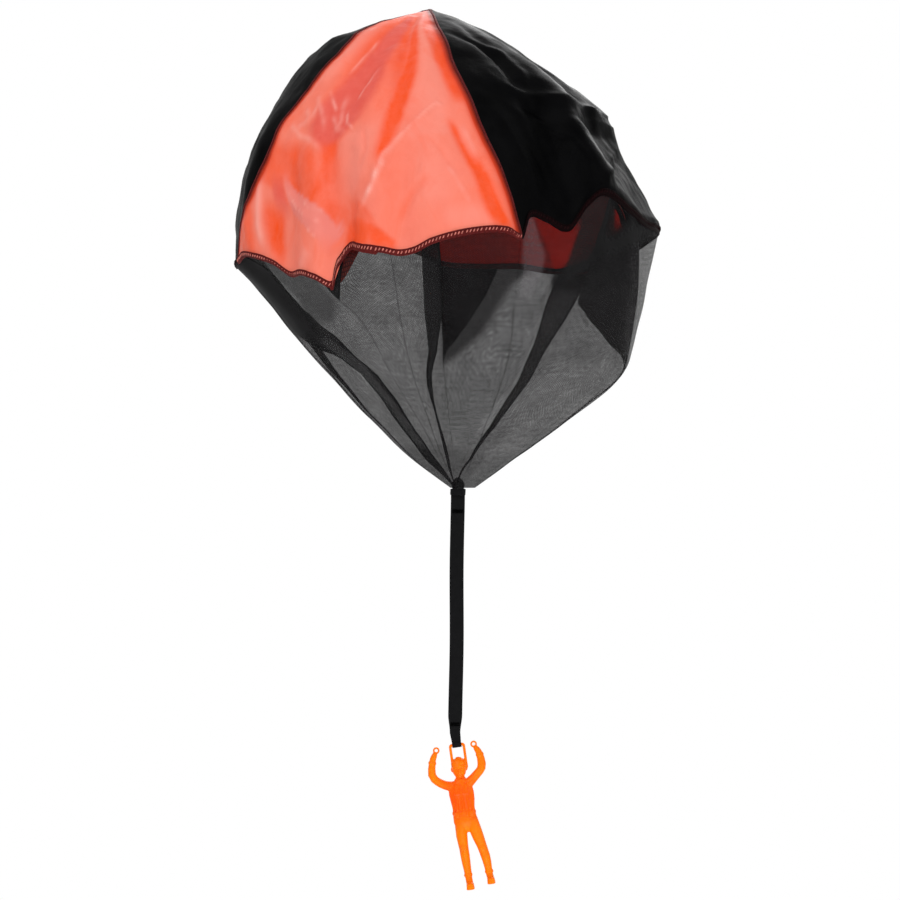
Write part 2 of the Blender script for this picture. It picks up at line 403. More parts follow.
def on_canopy(azimuth, along, depth=0):
    spread = smoothstep((along - HEM_WAVE_START_SHARE) / (1 - HEM_WAVE_START_SHARE))
    wide = mix(1, hem_wave(1, azimuth), spread)
    deep = mix(1, hem_wave(2, azimuth), spread)
    radius = HEM_RADIUS * along_curve(CANOPY_RADIUS_SHARES, along) * wide
    radius += FOLD_DEPTH * folds(CANOPY_FOLD_SHARES, azimuth, along)
    drop = CANOPY_DROP * along_curve(CANOPY_DROP_SHARES, along) * deep
    centre = HEM_OFFSET * along_curve(CANOPY_MOVE_SHARES, along)
    turn = radians(azimuth)
    return towards_heart(Vector((centre + radius * sin(turn), -radius * cos(turn), -drop)), depth)


def on_skirt(azimuth, along, depth=0):
    slack = smoothstep((1 + cos(radians(azimuth - SLACK_AZIMUTH))) / 2)
    out = mix(
        along_curve(TAUT_RADIUS_SHARES, along), along_curve(SLACK_RADIUS_SHARES, along), slack
    )
    down = mix(along_curve(TAUT_DROP_SHARES, along), along_curve(SLACK_DROP_SHARES, along), slack)
    spread = 1 - smoothstep(along / SKIRT_WAVE_END_SHARE)
    hem_radius = HEM_RADIUS * mix(1, hem_wave(1, azimuth), spread)
    hem_drop = CANOPY_DROP * mix(1, hem_wave(2, azimuth), spread)
    turn = radians(azimuth)
    end_radius = SKIRT_END_RADIUS + SKIRT_TAIL_REACH * max(0, sin(turn)) ** 6
    radius = mix(end_radius, hem_radius, out)
    radius += PLEAT_DEPTH * folds(SKIRT_FOLD_SHARES, azimuth, along) * out
    drop = mix(hem_drop, SKIRT_END_DROP, down)
    centre = mix(HEM_OFFSET, GATHER_OFFSET, down)
    return towards_heart(Vector((centre + radius * sin(turn), -radius * cos(turn), -drop)), depth)


def seam_azimuth(i, along):
    last, column = divmod(i, len(GORES))
    knots = [row[0] for row in CANOPY_SEAM_SHARES]
    turns = [row[1 + column] for row in CANOPY_SEAM_SHARES]
    return curve_through(knots, turns, along) + FULL_TURN * last


def laid_lines(rows, surface):
    """Each crease's line as points on a surface, with its box a little grown."""
    laid = []
    for row in rows:
        line = [surface(azimuth, along) for along, azimuth in row[-1]]
        reach = row[1] * 0.001 * 3
        low = Vector([min(p[k] for p in line) - reach for k in range(3)])
        high = Vector([max(p[k] for p in line) + reach for k in range(3)])
        laid.append((row, line, low, high))
    return laid


def line_distance(point, line):
    """How far a point is from a line of straight runs, and its place along it as a share."""
    best, place = 1.0, 0.0
    for i in range(len(line) - 1):
        run = line[i + 1] - line[i]
        t = min(max((point - line[i]).dot(run) / run.length_squared, 0), 1)
        away = (point - line[i] - run * t).length
        if away < best:
            best, place = away, (i + t) / (len(line) - 1)
    return best, place


def crease_at(point, laid):
    """How far out a point moves for its creases, in metres, and its three colour shares."""
    lift, deep, pink, pale = 0.0, 0.0, 0.0, 0.0
    for row, line, low, high in laid:
        if not all(low[k] < point[k] < high[k] for k in range(3)):
            continue
        away, place = line_distance(point, line)
        across = away / (row[1] * 0.001)
        if across > 3:
            continue
        share = exp(-across * across) * min(1, 5 * place + 0.15, 5 * (1 - place) + 0.15)
        if row[1] < 2:
            share *= min(1, 0.85 + 0.9 * noise.noise(point * 160))
        lift += row[0] * 0.001 * share
        if len(row) > 3:
            deep = max(deep, row[2] * share)
            pink = max(pink, row[3] * share)
            pale = max(pale, row[4] * share)
    return lift, deep, pink, pale


LAID_CREASES = laid_lines(CREASES, on_canopy)
LAID_FOLDS = laid_lines(TULLE_FOLDS, on_skirt)


def patch_at(patches, azimuth, along):
    """The three shares of a table's patches at a place."""
    found = [0.0, 0.0, 0.0]
    for *shares, soft, rows in patches:
        if not rows[0][0] - 0.03 < along < rows[-1][0] + 0.03:
            continue
        low = straight_through(rows, 1, along)
        high = straight_through(rows, 2, along)
        middle, half = (low + high) / 2, (high - low) / 2
        inside = half - abs(turned_by(azimuth, middle))
        share = smoothstep(inside / soft + 0.5)
        share *= smoothstep((along - rows[0][0]) / 0.06 + 0.5) if rows[0][0] > 0 else 1
        share *= smoothstep((rows[-1][0] - along) / 0.06 + 0.5)
        found = [max(before, value * share) for before, value in zip(found, shares)]
    return found


def hem_end(azimuth):
    first = HEM_END_SHARES[0][0]
    return straight_through(HEM_END_SHARES, 1, first + (azimuth - first) % FULL_TURN)


def canopy_point(azimuth, along, depth=0):
    """A point of the creased canopy, and its colour shares."""
    point = on_canopy(azimuth, along)
    lift, *tints = crease_at(point, LAID_CREASES)
    tints = [max(pair) for pair in zip(tints, patch_at(NYLON_PATCHES, azimuth, along))]
    tints[0] = max(tints[0], min(0.85, -1.1 * folds(CANOPY_FOLD_SHARES, azimuth, along)))
    fade = min(1, along * 8)
    rumple = 0.0009 * noise.noise(point * 55) + 0.0004 * noise.noise(point * 140)
    return towards_heart(point, depth - (lift + rumple) * fade), tints


def skirt_point(azimuth, along, depth=0):
    point = on_skirt(azimuth, along)
    lift = crease_at(point, LAID_FOLDS)[0]
    fade = min(1, along * 6, (1 - along) * 6)
    rumple = 0.0009 * noise.noise(point * 45)
    return towards_heart(point, depth - (lift + rumple) * fade)


# ------------------------------------------------------------------ materials
class Finish:
    """A node material, built round one Principled shader."""

    def __init__(self, name, colour, roughness, specular=0.4, **values):
        self.material = bpy.data.materials.new(name)
        self.material.use_nodes = True
        self.tree = self.material.node_tree
        self.shader = self.tree.nodes["Principled BSDF"]
        self.set("Base Color", (*colour, 1))
        self.set("Roughness", roughness)
        self.set("Specular IOR Level", specular)
        for key, value in values.items():
            self.set(key.replace("_", " "), value)

    def set(self, socket, value):
        self.shader.inputs[socket].default_value = value

    def node(self, kind, **values):
        made = self.tree.nodes.new(f"ShaderNode{kind}")
        for key, value in values.items():
            setattr(made, key, value)
        return made

    def join(self, start, end):
        self.tree.links.new(start, end)

    def place(self, source="Object", scale=(1, 1, 1), turn=(0, 0, 0)):
        """Coordinates from the object, or from its UV map, scaled and turned."""
        coordinates = self.node("TexCoord")
        mapping = self.node("Mapping")
        mapping.inputs["Scale"].default_value = scale
        mapping.inputs["Rotation"].default_value = turn
        self.join(coordinates.outputs[source], mapping.inputs["Vector"])
        return mapping.outputs["Vector"]

    def parts(self, vector):
        split = self.node("SeparateXYZ")
        self.join(vector, split.inputs[0])
        return split.outputs

    def maths(self, operation, first, second=None, third=None, clamp=False):
        made = self.node("Math", operation=operation, use_clamp=clamp)
        for i, value in enumerate((first, second, third)):
            if value is None:
                continue
            if isinstance(value, (int, float)):
                made.inputs[i].default_value = value
            else:
                self.join(value, made.inputs[i])
        return made.outputs[0]

    def ribs(self, value, pitch):
        """From 0 to 1 and back once in each pitch."""
        wave = self.maths("SINE", self.maths("MULTIPLY", value, tau / pitch))
        return self.maths("MULTIPLY_ADD", wave, 0.5, 0.5)

    def speckle(self, vector, scale, detail=3.0, rough=0.55, twist=0.0):
        made = self.node("TexNoise")
        made.inputs["Distortion"].default_value = twist
        made.inputs["Scale"].default_value = scale
        made.inputs["Detail"].default_value = detail
        made.inputs["Roughness"].default_value = rough
        if vector is not None:
            self.join(vector, made.inputs["Vector"])
        return made.outputs["Fac"]

    def blend(self, share, first, second):
        """One colour or the other, by a share."""
        made = self.node("Mix", data_type="RGBA")
        self.join(share, made.inputs["Factor"])
        for socket, value in (("A", first), ("B", second)):
            slot = [s for s in made.inputs if s.name == socket and s.type == "RGBA"][0]
            if isinstance(value, tuple):
                slot.default_value = (*value, 1)
            else:
                self.join(value, slot)
        return [s for s in made.outputs if s.type == "RGBA"][0]

    def span(self, value, low, high, first=0.0, last=1.0):
        made = self.node("MapRange")
        self.join(value, made.inputs["Value"])
        for i, number in enumerate((low, high, first, last)):
            made.inputs[1 + i].default_value = number
        return made.outputs["Result"]

    def bump(self, height, distance, strength=1.0, under=None):
        made = self.node("Bump")
        made.inputs["Strength"].default_value = strength
        made.inputs["Distance"].default_value = distance
        self.join(height, made.inputs["Height"])
        if under is not None:
            self.join(under, made.inputs["Normal"])
        return made.outputs["Normal"]

    def colour(self, socket):
        self.join(socket, self.shader.inputs["Base Color"])

    def rough(self, socket):
        self.join(socket, self.shader.inputs["Roughness"])

    def normal(self, socket):
        self.join(socket, self.shader.inputs["Normal"])

    def let_through(self, share, colour):
        """Thin cloth: a share of the light goes through it, coloured by it."""
        through = self.node("BsdfTranslucent")
        through.inputs["Color"].default_value = (*colour, 1)
        both = self.node("MixShader")
        both.inputs[0].default_value = share
        self.join(self.shader.outputs[0], both.inputs[1])
        self.join(through.outputs[0], both.inputs[2])
        self.join(both.outputs[0], self.tree.nodes["Material Output"].inputs["Surface"])


def plain_weave(finish, pitch):
    """Over-and-under threads in both directions, on the cloth's own UV map in metres."""
    u, v, _ = finish.parts(finish.place("UV"))
    warp, weft = finish.ribs(u, pitch), finish.ribs(v, pitch)
    return finish.maths("MULTIPLY", warp, weft)


def orange_nylon():
    finish = Finish("coral nylon, outside", (0.87, 0.22, 0.157), 0.42, 0.07, Sheen_Weight=0.02, Sheen_Roughness=0.4)
    tint = finish.node("Attribute", attribute_name="cloth_tint")
    split = finish.node("SeparateColor")
    finish.join(tint.outputs["Color"], split.inputs[0])
    deep, pink, pale = split.outputs
    mottle = finish.speckle(finish.place(scale=(1.2, 1.2, 0.5)), 44, 5, 0.6, 0.8)
    fine = finish.speckle(finish.place(), 170, 4, 0.65)
    deep = finish.maths("ADD", deep, finish.span(mottle, 0.48, 0.68, 0.0, 0.34), clamp=True)
    pink = finish.maths("ADD", pink, finish.span(mottle, 0.48, 0.30, 0.0, 0.16), clamp=True)
    colour = finish.blend(deep, (0.87, 0.205, 0.135), (0.87, 0.080, 0.014))
    colour = finish.blend(pink, colour, (0.720, 0.098, 0.072))
    colour = finish.blend(pale, colour, (0.920, 0.430, 0.365))
    colour = finish.blend(finish.span(fine, 0.35, 0.75, 0.0, 0.18), colour, (0.88, 0.24, 0.175))
    colour = finish.blend(finish.span(tint.outputs["Alpha"], 0.0, 0.35), colour, (0.640, 0.050, 0.016))
    colour = finish.blend(finish.span(tint.outputs["Alpha"], 0.25, 1.0, 0.0, 0.96), colour, (0.050, 0.003, 0.002))
    finish.colour(colour)
    finish.rough(finish.span(mottle, 0.3, 0.7, 0.34, 0.48))
    crumple = finish.bump(finish.speckle(finish.place(), 90, 4), 0.0010, 0.9)
    finish.normal(finish.bump(plain_weave(finish, 0.00036), 0.00002, 0.6, crumple))
    finish.let_through(0.22, (1.0, 0.16, 0.07))
    return finish.material


def orange_nylon_inside(name, shaded):
    """The same cloth from within, darker where the skirt's left side hides the light."""
    finish = Finish(name, (0.80, 0.050, 0.026), 0.60, 0.06)
    mottle = finish.speckle(finish.place(), 45, 4)
    lit = finish.blend(finish.span(mottle, 0.35, 0.7), (0.66, 0.056, 0.036), (0.46, 0.030, 0.022))
    across = finish.parts(finish.place())[0]
    finish.colour(finish.blend(finish.span(across, 0.038, 0.062), shaded, lit))
    crumple = finish.bump(finish.speckle(finish.place(), 80, 4), 0.0008, 0.9)
    finish.normal(finish.bump(plain_weave(finish, 0.00036), 0.00002, 0.6, crumple))
    finish.let_through(0.40, (1.0, 0.10, 0.05))
    return finish.material


def black_nylon():
    finish = Finish("black nylon", (0.002, 0.002, 0.0022), 0.46, 0.011)
    mottle = finish.speckle(finish.place(), 40, 4)
    finish.colour(
        finish.blend(finish.span(mottle, 0.35, 0.7), (0.0006, 0.0006, 0.0007), (0.0020, 0.0020, 0.0022))
    )
    finish.rough(finish.span(mottle, 0.3, 0.7, 0.38, 0.54))
    crumple = finish.bump(finish.speckle(finish.place(), 85, 4), 0.0006, 0.9)
    finish.normal(finish.bump(plain_weave(finish, 0.00036), 0.00002, 0.6, crumple))
    return finish.material


def tulle(name, thin, thick, colour=(0.0062, 0.0060, 0.0062), patched=True):
    """Fine net: threads on three courses round small holes, so that it is seen through."""
    finish = Finish(name, colour, 0.75, 0.05)
    pitch = 0.00095
    net = None
    for turn in (0, pi / 3, -pi / 3):
        course = finish.parts(finish.place("UV", turn=(0, 0, turn)))[0]
        line = finish.maths("POWER", finish.ribs(course, pitch), 3)
        net = line if net is None else finish.maths("MAXIMUM", net, line)
    cloud = finish.speckle(finish.place(), 60, 3)
    alpha = finish.span(net, 0.05, 0.85, thin, thick)
    grain = finish.speckle(finish.place(), 420, 2, 0.7)
    alpha = finish.maths("ADD", alpha, finish.span(cloud, 0.3, 0.7, -0.05, 0.03), clamp=True)
    alpha = finish.maths("ADD", alpha, finish.span(grain, 0.3, 0.7, -0.06, 0.05), clamp=True)
    water = finish.speckle(finish.place(scale=(1, 1, 1.6)), 34, 2, 0.5, 1.5)
    alpha = finish.maths("ADD", alpha, finish.span(water, 0.36, 0.64, -0.030, 0.022), clamp=True)
    bend = finish.maths("MULTIPLY_ADD", finish.speckle(finish.place(), 9, 1), 0.030, finish.parts(finish.place())[2])
    arcs = finish.maths("MULTIPLY", finish.ribs(bend, 0.0031), finish.span(water, 0.42, 0.60))
    alpha = finish.maths("MULTIPLY_ADD", arcs, -0.055, alpha, clamp=True)
    shade = finish.blend(finish.span(cloud, 0.3, 0.7), colour, tuple(c * 1.5 for c in colour))
    if patched:
        tint = finish.node("Attribute", attribute_name="cloth_tint")
        split = finish.node("SeparateColor")
        finish.join(tint.outputs["Color"], split.inputs[0])
        dense, light, lit = split.outputs
        gap = finish.maths("SUBTRACT", 0.985, alpha)
        alpha = finish.maths("MULTIPLY_ADD", gap, dense, alpha)
        alpha = finish.maths("MULTIPLY", alpha, finish.maths("SUBTRACT", 1.0, light))
        shade = finish.blend(lit, shade, (0.052, 0.047, 0.050))
    finish.join(alpha, finish.shader.inputs["Alpha"])
    finish.colour(shade)
    return finish.material


def thread(name, colour, sheen):
    """Twisted sewing thread."""
    finish = Finish(name, colour, 0.6, sheen, Sheen_Weight=sheen / 4, Sheen_Roughness=0.4)
    mottle = finish.speckle(finish.place(), 700, 3)
    finish.colour(
        finish.blend(
            finish.span(mottle, 0.35, 0.7), tuple(c * 0.75 for c in colour),
            tuple(min(c * 1.3, 1) for c in colour),
        )
    )
    x, y, z = finish.parts(finish.place())
    lay = finish.ribs(finish.maths("ADD", finish.maths("ADD", x, y), z), 0.00032)
    finish.normal(finish.bump(lay, 0.00006, 0.6))
    return finish.material


def webbing():
    """Flat woven tape: ribs across it, and close threads along it."""
    finish = Finish("black webbing", (0.007, 0.007, 0.0075), 0.75, 0.05, Sheen_Weight=0.01)
    u, v, _ = finish.parts(finish.place("UV"))
    rows = finish.ribs(v, 0.00055)
    shift = finish.maths("MULTIPLY", finish.maths("ROUND", finish.maths("DIVIDE", u, 0.00080)), pi)
    twill = finish.maths("SINE", finish.maths("ADD", finish.maths("MULTIPLY", v, tau / 0.0011), shift))
    weave = finish.maths("MULTIPLY_ADD", twill, 0.35, rows)
    warp = finish.ribs(u, 0.00040)
    height = finish.maths("MULTIPLY_ADD", warp, 0.6, weave)
    mottle = finish.speckle(finish.place(), 300, 3)
    share = finish.maths("MULTIPLY", finish.span(weave, -0.3, 1.3), finish.span(mottle, 0.3, 0.7, 0.6, 1))
    finish.colour(finish.blend(share, (0.0016, 0.0016, 0.0018), (0.0078, 0.0078, 0.0082)))
    finish.normal(finish.bump(height, 0.00007, 0.8))
    return finish.material


def orange_plastic():
    """Moulded polyethylene: a soft gloss, a faint flash line where the mould parts."""
    finish = Finish(
        "orange moulding", (0.88, 0.155, 0.002), 0.38, 0.08,
        Subsurface_Weight=0.15, Subsurface_Radius=(1.0, 0.35, 0.02), Subsurface_Scale=0.0010,
    )
    mottle = finish.speckle(finish.place(), 160, 3)
    colour = finish.blend(finish.span(mottle, 0.3, 0.72), (0.87, 0.175, 0.001), (0.86, 0.140, 0.001))
    # The thick chest is a deeper orange than the thin limbs.
    from_chest = finish.node("VectorMath", operation="DISTANCE")
    finish.join(finish.place(), from_chest.inputs[0])
    from_chest.inputs[1].default_value = (0.0170, -0.004, -0.4475)
    colour = finish.blend(
        finish.span(from_chest.outputs["Value"], 0.004, 0.019, 0.90, 0.0), colour, (0.90, 0.072, 0.001)
    )
    finish.colour(colour)
    finish.rough(finish.span(mottle, 0.3, 0.7, 0.30, 0.42))
    y = finish.maths("ABSOLUTE", finish.parts(finish.place())[1])
    flash = finish.span(y, 0.00010, 0.00024, 1.0, 0.0)
    skin = finish.bump(finish.speckle(finish.place(), 900, 2), 0.00003, 0.5)
    finish.normal(finish.bump(flash, 0.00009, 0.7, skin))
    return finish.material


CORAL = orange_nylon()
CORAL_INSIDE = orange_nylon_inside("coral nylon, inside", (0.10, 0.008, 0.007))
CORAL_TUCK = orange_nylon_inside("coral nylon, turned up", (0.50, 0.055, 0.030))
BLACK_NYLON = black_nylon()
TULLE = tulle("black tulle", 0.48, 0.85)
TULLE_BUNCHED = tulle("black tulle, bunched", 0.90, 1.0, (0.005, 0.005, 0.0055), patched=False)
TULLE_SEAM = tulle("black tulle, seam", 0.22, 0.50, (0.006, 0.006, 0.006), patched=False)
DARK_THREAD = thread("dark red thread", (0.085, 0.0085, 0.0080), 0.05)
DARKER_THREAD = thread("black cherry thread", (0.0036, 0.0008, 0.0010), 0.02)
PALE_THREAD = thread("pale stitches", (0.50, 0.150, 0.118), 0.10)
WINE_THREAD = thread("wine stitches", (0.0090, 0.0010, 0.0015), 0.03)
BLACK_THREAD = thread("black thread", (0.004, 0.004, 0.0045), 0.06)
WEBBING = webbing()
PLASTIC = orange_plastic()


# ------------------------------------------------------------------ making pieces
def object_from(bm, name, *finishes, weld=True, smooth=True, sharp=None):
    if weld:
        bmesh.ops.remove_doubles(bm, verts=bm.verts, dist=0.000001)
        bmesh.ops.recalc_face_normals(bm, faces=bm.faces)
    mesh = bpy.data.meshes.new(name)
    bm.to_mesh(mesh)
    bm.free()
    if smooth:
        mesh.shade_smooth()
    if sharp:
        mesh.set_sharp_from_angle(angle=radians(sharp))
    for finish in finishes:
        mesh.materials.append(finish)
    obj = bpy.data.objects.new(name, mesh)
    bpy.context.scene.collection.objects.link(obj)
    return obj


def cloth(name, columns, rows, place, finishes, thickness=None, tinted=False):
    """An open sheet of cloth. place gives a point, a UV place and colour shares."""
    bm = bmesh.new()
    bmesh.ops.create_grid(bm, x_segments=columns, y_segments=rows, size=0.5)
    uv = bm.loops.layers.uv.new("cloth")
    tint = bm.verts.layers.float_color.new("cloth_tint") if tinted else None
    spots = {}
    for vert in bm.verts:
        point, spot, tints = place(vert.co.x + 0.5, vert.co.y + 0.5)
        vert.co = point
        spots[vert.index] = spot
        if tinted:
            vert[tint] = (*tints, 0)[:4]
    for face in bm.faces:
        for loop in face.loops:
            loop[uv].uv = spots[loop.vert.index]
    bm.normal_update()
    face = max(bm.faces, key=lambda f: f.calc_area())
    if (face.calc_center_median() - HEART).dot(face.normal) < 0:
        bmesh.ops.reverse_faces(bm, faces=bm.faces[:])
    obj = object_from(bm, name, *finishes, weld=False)
    if thickness:
        shell = obj.modifiers.new("cloth thickness", "SOLIDIFY")
        shell.thickness = thickness
        shell.offset = -1
        shell.material_offset = 1 if len(finishes) > 1 else 0
    return obj


def swept(name, stations, sides, finishes, square=2.0, shift=0.0, uv_axis=None):
    """A closed bar. Each station: centre, half width, half depth (along Y). square rounds its
    section from an ellipse at 2 towards a rectangle."""
    bm = bmesh.new()
    centres = [station[0] for station in stations]
    ring, made = None, None
    for i, (centre, half_width, half_depth) in enumerate(stations):
        along = (centres[min(i + 1, len(centres) - 1)] - centres[max(i - 1, 0)]).normalized()
        back = Vector((0, 1, 0)) - along * along.y
        if back.length < 0.1:
            back = Vector((0, 0, 1)) - along * along.z
        back.normalize()
        across = back.cross(along)
        axes = Matrix((across * half_width, back * half_depth, along * half_width)).transposed()
        at = Matrix.Translation(centre) @ axes.to_4x4()
        if ring is None:
            bmesh.ops.create_circle(bm, cap_ends=False, segments=sides, radius=1)
            for vert in bm.verts:
                x, y = vert.co.x, vert.co.y
                vert.co.x = (1 if x > 0 else -1) * abs(x) ** (2 / square)
                vert.co.y = (1 if y > 0 else -1) * abs(y) ** (2 / square)
            ring = bm.edges[:]
            bmesh.ops.transform(bm, matrix=at, verts=bm.verts)
            bmesh.ops.edgeloop_fill(bm, edges=ring)
        else:
            grown = bmesh.ops.extrude_edge_only(bm, edges=ring)["geom"]
            verts = [v for v in grown if isinstance(v, bmesh.types.BMVert)]
            bmesh.ops.transform(bm, matrix=at @ made.inverted(), verts=verts)
            new = set(verts)
            ring = [e for e in bm.edges if e.verts[0] in new and e.verts[1] in new]
        made = at
    bmesh.ops.edgeloop_fill(bm, edges=ring)
    return object_from(bm, name, *finishes, sharp=50)


def flat_uv(obj):
    """A UV map in metres: across the tape from its middle, and down it."""
    layer = obj.data.uv_layers.new(name="cloth")
    for loop in obj.data.loops:
        co = obj.data.vertices[loop.vertex_index].co
        layer.data[loop.index].uv = (co.x, -co.z)
    return obj


def wire(name, points, radius, finish, closed=False, sides=6):
    """A thread or wire round a line of points, its ends rounded off by their radius."""
    curve = bpy.data.curves.new(name, "CURVE")
    curve.dimensions = "3D"
    curve.bevel_depth = radius
    curve.bevel_resolution = max(sides // 2 - 2, 0)
    curve.use_fill_caps = True
    spline = curve.splines.new("POLY")
    spline.points.add(len(points) - 1)
    for i, point in enumerate(points):
        spline.points[i].co = (*point, 1)
        spline.points[i].radius = 1 if closed or 0 < i < len(points) - 1 else 0.6
    spline.use_cyclic_u = closed
    guide = bpy.data.objects.new(name, curve)
    bpy.context.scene.collection.objects.link(guide)
    bpy.context.view_layer.update()
    mesh = bpy.data.meshes.new_from_object(guide.evaluated_get(bpy.context.evaluated_depsgraph_get()))
    bpy.data.objects.remove(guide)
    bpy.data.curves.remove(curve)
    bm = bmesh.new()
    bm.from_mesh(mesh)
    bpy.data.meshes.remove(mesh)
    return object_from(bm, name, finish)


def joined(name, objects):
    """Several meshes with their own materials as one piece."""
    bm = bmesh.new()
    finishes = []
    for obj in objects:
        mesh = obj.data
        start = len(bm.faces)
        bm.from_mesh(mesh)
        bm.faces.ensure_lookup_table()
        own = [m for m in mesh.materials]
        for material in own:
            if material not in finishes:
                finishes.append(material)
        for face in bm.faces[start:]:
            face.material_index = finishes.index(own[face.material_index])
        bpy.data.objects.remove(obj)
        bpy.data.meshes.remove(mesh)
    return object_from(bm, name, *finishes, weld=False)


def settle(obj, body, slot, *nodes):
    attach(obj, body)
    if nodes:
        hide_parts(*nodes)
    return obj


# ------------------------------------------------------------------ the canopy
def make_gores():
    finishes = {
        "front": (CORAL, CORAL_INSIDE), "rear": (CORAL, CORAL_INSIDE),
        "right": (BLACK_NYLON,), "left": (BLACK_NYLON,),
    }
    # Each gore: columns, rows, the flat size it was cut to, and that cut's area.
    cuts = {
        "front": (150, 120, (0.205, 0.215), 0.0262), "right": (140, 110, (0.205, 0.215), 0.0262),
        "rear": (120, 100, (0.205, 0.215), 0.0262), "left": (110, 100, (0.205, 0.215), 0.0262),
    }
    for i, side in enumerate(GORES):
        columns, rows, flat, area = cuts[side]

        def place(across, along, i=i):
            low = 0.004
            azimuth = mix(seam_azimuth(i, along), seam_azimuth(i + 1, along), across)
            at = mix(low, hem_end(azimuth), along)
            azimuth = mix(seam_azimuth(i, at), seam_azimuth(i + 1, at), across)
            point, tints = canopy_point(azimuth, at)
            reach = HEM_RADIUS * along_curve(CANOPY_RADIUS_SHARES, at)
            span = reach * radians(seam_azimuth(i + 1, at) - seam_azimuth(i, at))
            from_seam = min(across, 1 - across) * span / 0.0031
            return point, (reach * radians(azimuth), at * GORE_LENGTH), (*tints, exp(-from_seam ** 2))

        gore = cloth(
            f"nylon_gore_{side}", columns, rows, place, finishes[side], NYLON, tinted=True
        )
        settle(gore, "canopy", "orange_nylon" if i % 2 == 0 else "black_nylon", f"gore_{side}")


def make_seams():
    """Outside, each seam's stitched ridge. Inside, the turned edges that it holds."""
    for i in range(len(GORES)):

        def ridge(across, along, i=i):
            at = mix(0.006, 0.998, along)
            azimuth = seam_azimuth(i, at)
            point, _ = canopy_point(azimuth, at)
            side, _ = canopy_point(azimuth + 0.6 / max(at, 0.12), at)
            out = (point - HEART).normalized()
            step = (side - point).normalized()
            bulge = 0.00035 * (1 - (2 * across - 1) ** 2) + 0.00012
            half = 0.0008
            return point + step * half * (2 * across - 1) + out * bulge, (across * 0.0016, at * GORE_LENGTH), None

        def turned_edge(across, along, i=i):
            at = mix(0.06, 0.985, along)
            azimuth = seam_azimuth(i, at)
            point, _ = canopy_point(azimuth, at)
            side, _ = canopy_point(azimuth + 0.6 / max(at, 0.12), at)
            heart = (HEART - point).normalized()
            step = (side - point).normalized()
            stand = 0.0009 + 0.0025 * across
            lean = 0.0016 * across ** 2 * (1 + 0.4 * sin(at * 90))
            return point + heart * stand + step * lean, (across * 0.003, at * GORE_LENGTH), None

        outside = cloth(f"seam_ridge_{i + 1}", 4, 150, ridge, (DARK_THREAD,), 0.00012)
        settle(outside, "canopy", "stitch_thread")
        inside = cloth(f"seam_edge_{i + 1}", 3, 120, turned_edge, (BLACK_NYLON,), 0.0004)
        settle(inside, "canopy", "stitch_thread", f"gore_seam_{i + 1}")


def hem_point(azimuth, down, depth=0):
    """A point beside the hem: above it on the nylon, or below it on the tulle."""
    end = hem_end(azimuth)
    if down <= 0 or end < 0.999:
        return canopy_point(azimuth, end + down / (CANOPY_DROP * 1.3), depth)[0]
    return on_skirt(azimuth, down / SKIRT_LENGTH, depth)


def hem_azimuths(i):
    """Azimuths along one gore's hem, half a millimetre or so apart."""
    first, last = seam_azimuth(i, 1), seam_azimuth(i + 1, 1)
    count = round((last - first) / 0.28)
    return [mix(first, last, k / count) for k in range(count + 1)]


def make_hem():
    """The overlocked hem: a wrapped band, its needle thread and its slanted stitches."""
    for i, side in enumerate(GORES):
        turns = hem_azimuths(i)
        first, last = turns[0], turns[-1]

        def band(across, along, first=first, last=last):
            azimuth = mix(first, last, across)
            # Round the edge: down its outside, under it and up its inside.
            turn = pi * along
            down = mix(-OVERLOCK_RISE, OVERLOCK_FALL, min(1, sin(turn) * 1.25))
            inwards = mix(-0.00042, 0.00062, smoothstep((along - 0.28) / 0.44))
            return hem_point(azimuth, down, inwards), (HEM_RADIUS * radians(azimuth), along * 0.006), None

        pale = side in ("front", "rear")
        dark = DARK_THREAD if pale else DARKER_THREAD
        wrap = cloth(f"hem_wrap_{side}", len(turns) // 2, 10, band, (dark,), 0.00015)
        # Stitches one pitch apart along the outside of the wrap.
        stitches = []
        reached, before = STITCH_PITCH / 2, hem_point(first, 0)
        for azimuth in turns[1:]:
            here = hem_point(azimuth, 0)
            reached += (here - before).length
            before = here
            if reached < STITCH_PITCH:
                continue
            reached -= STITCH_PITCH
            out = (here - HEART).normalized()
            foot = hem_point(azimuth, 0.0008) + out * 0.00062
            top = hem_point(azimuth + 0.40, -0.0011) + out * 0.00062
            ahead = hem_point(azimuth + 0.5, 0) - here
            stitches.append((foot, top, ahead.normalized(), out))
        bm = bmesh.new()
        for foot, top, ahead, out in stitches:
            up = top - foot
            axes = Matrix((ahead * 0.00046, up / 2, out * 0.00020)).transposed()
            at = Matrix.Translation((foot + top) / 2) @ axes.to_4x4()
            bmesh.ops.create_icosphere(bm, subdivisions=1, radius=1.0, matrix=at)
        row = object_from(bm, f"hem_stitches_{side}", PALE_THREAD if pale else WINE_THREAD, weld=False)
        # The needle's line along the top of the wrap, and the knotted line along its foot.
        lines = []
        for part, down, radius in (("top", -OVERLOCK_RISE, 0.00024), ("foot", OVERLOCK_FALL * 0.86, 0.00030)):
            points = []
            for k, azimuth in enumerate(turns):
                out = 0.00040 + 0.00006 * sin(k * 1.7)
                points.append(hem_point(azimuth, down, -out))
            lines.append(wire(f"hem_line_{part}_{side}", points, radius, dark, sides=6))
        settle(wrap, "canopy", "stitch_thread", f"hem_overlock_{side}")
        settle(row, "canopy", "stitch_thread")
        settle(joined(f"hem_lines_{side}", lines), "canopy", "stitch_thread")


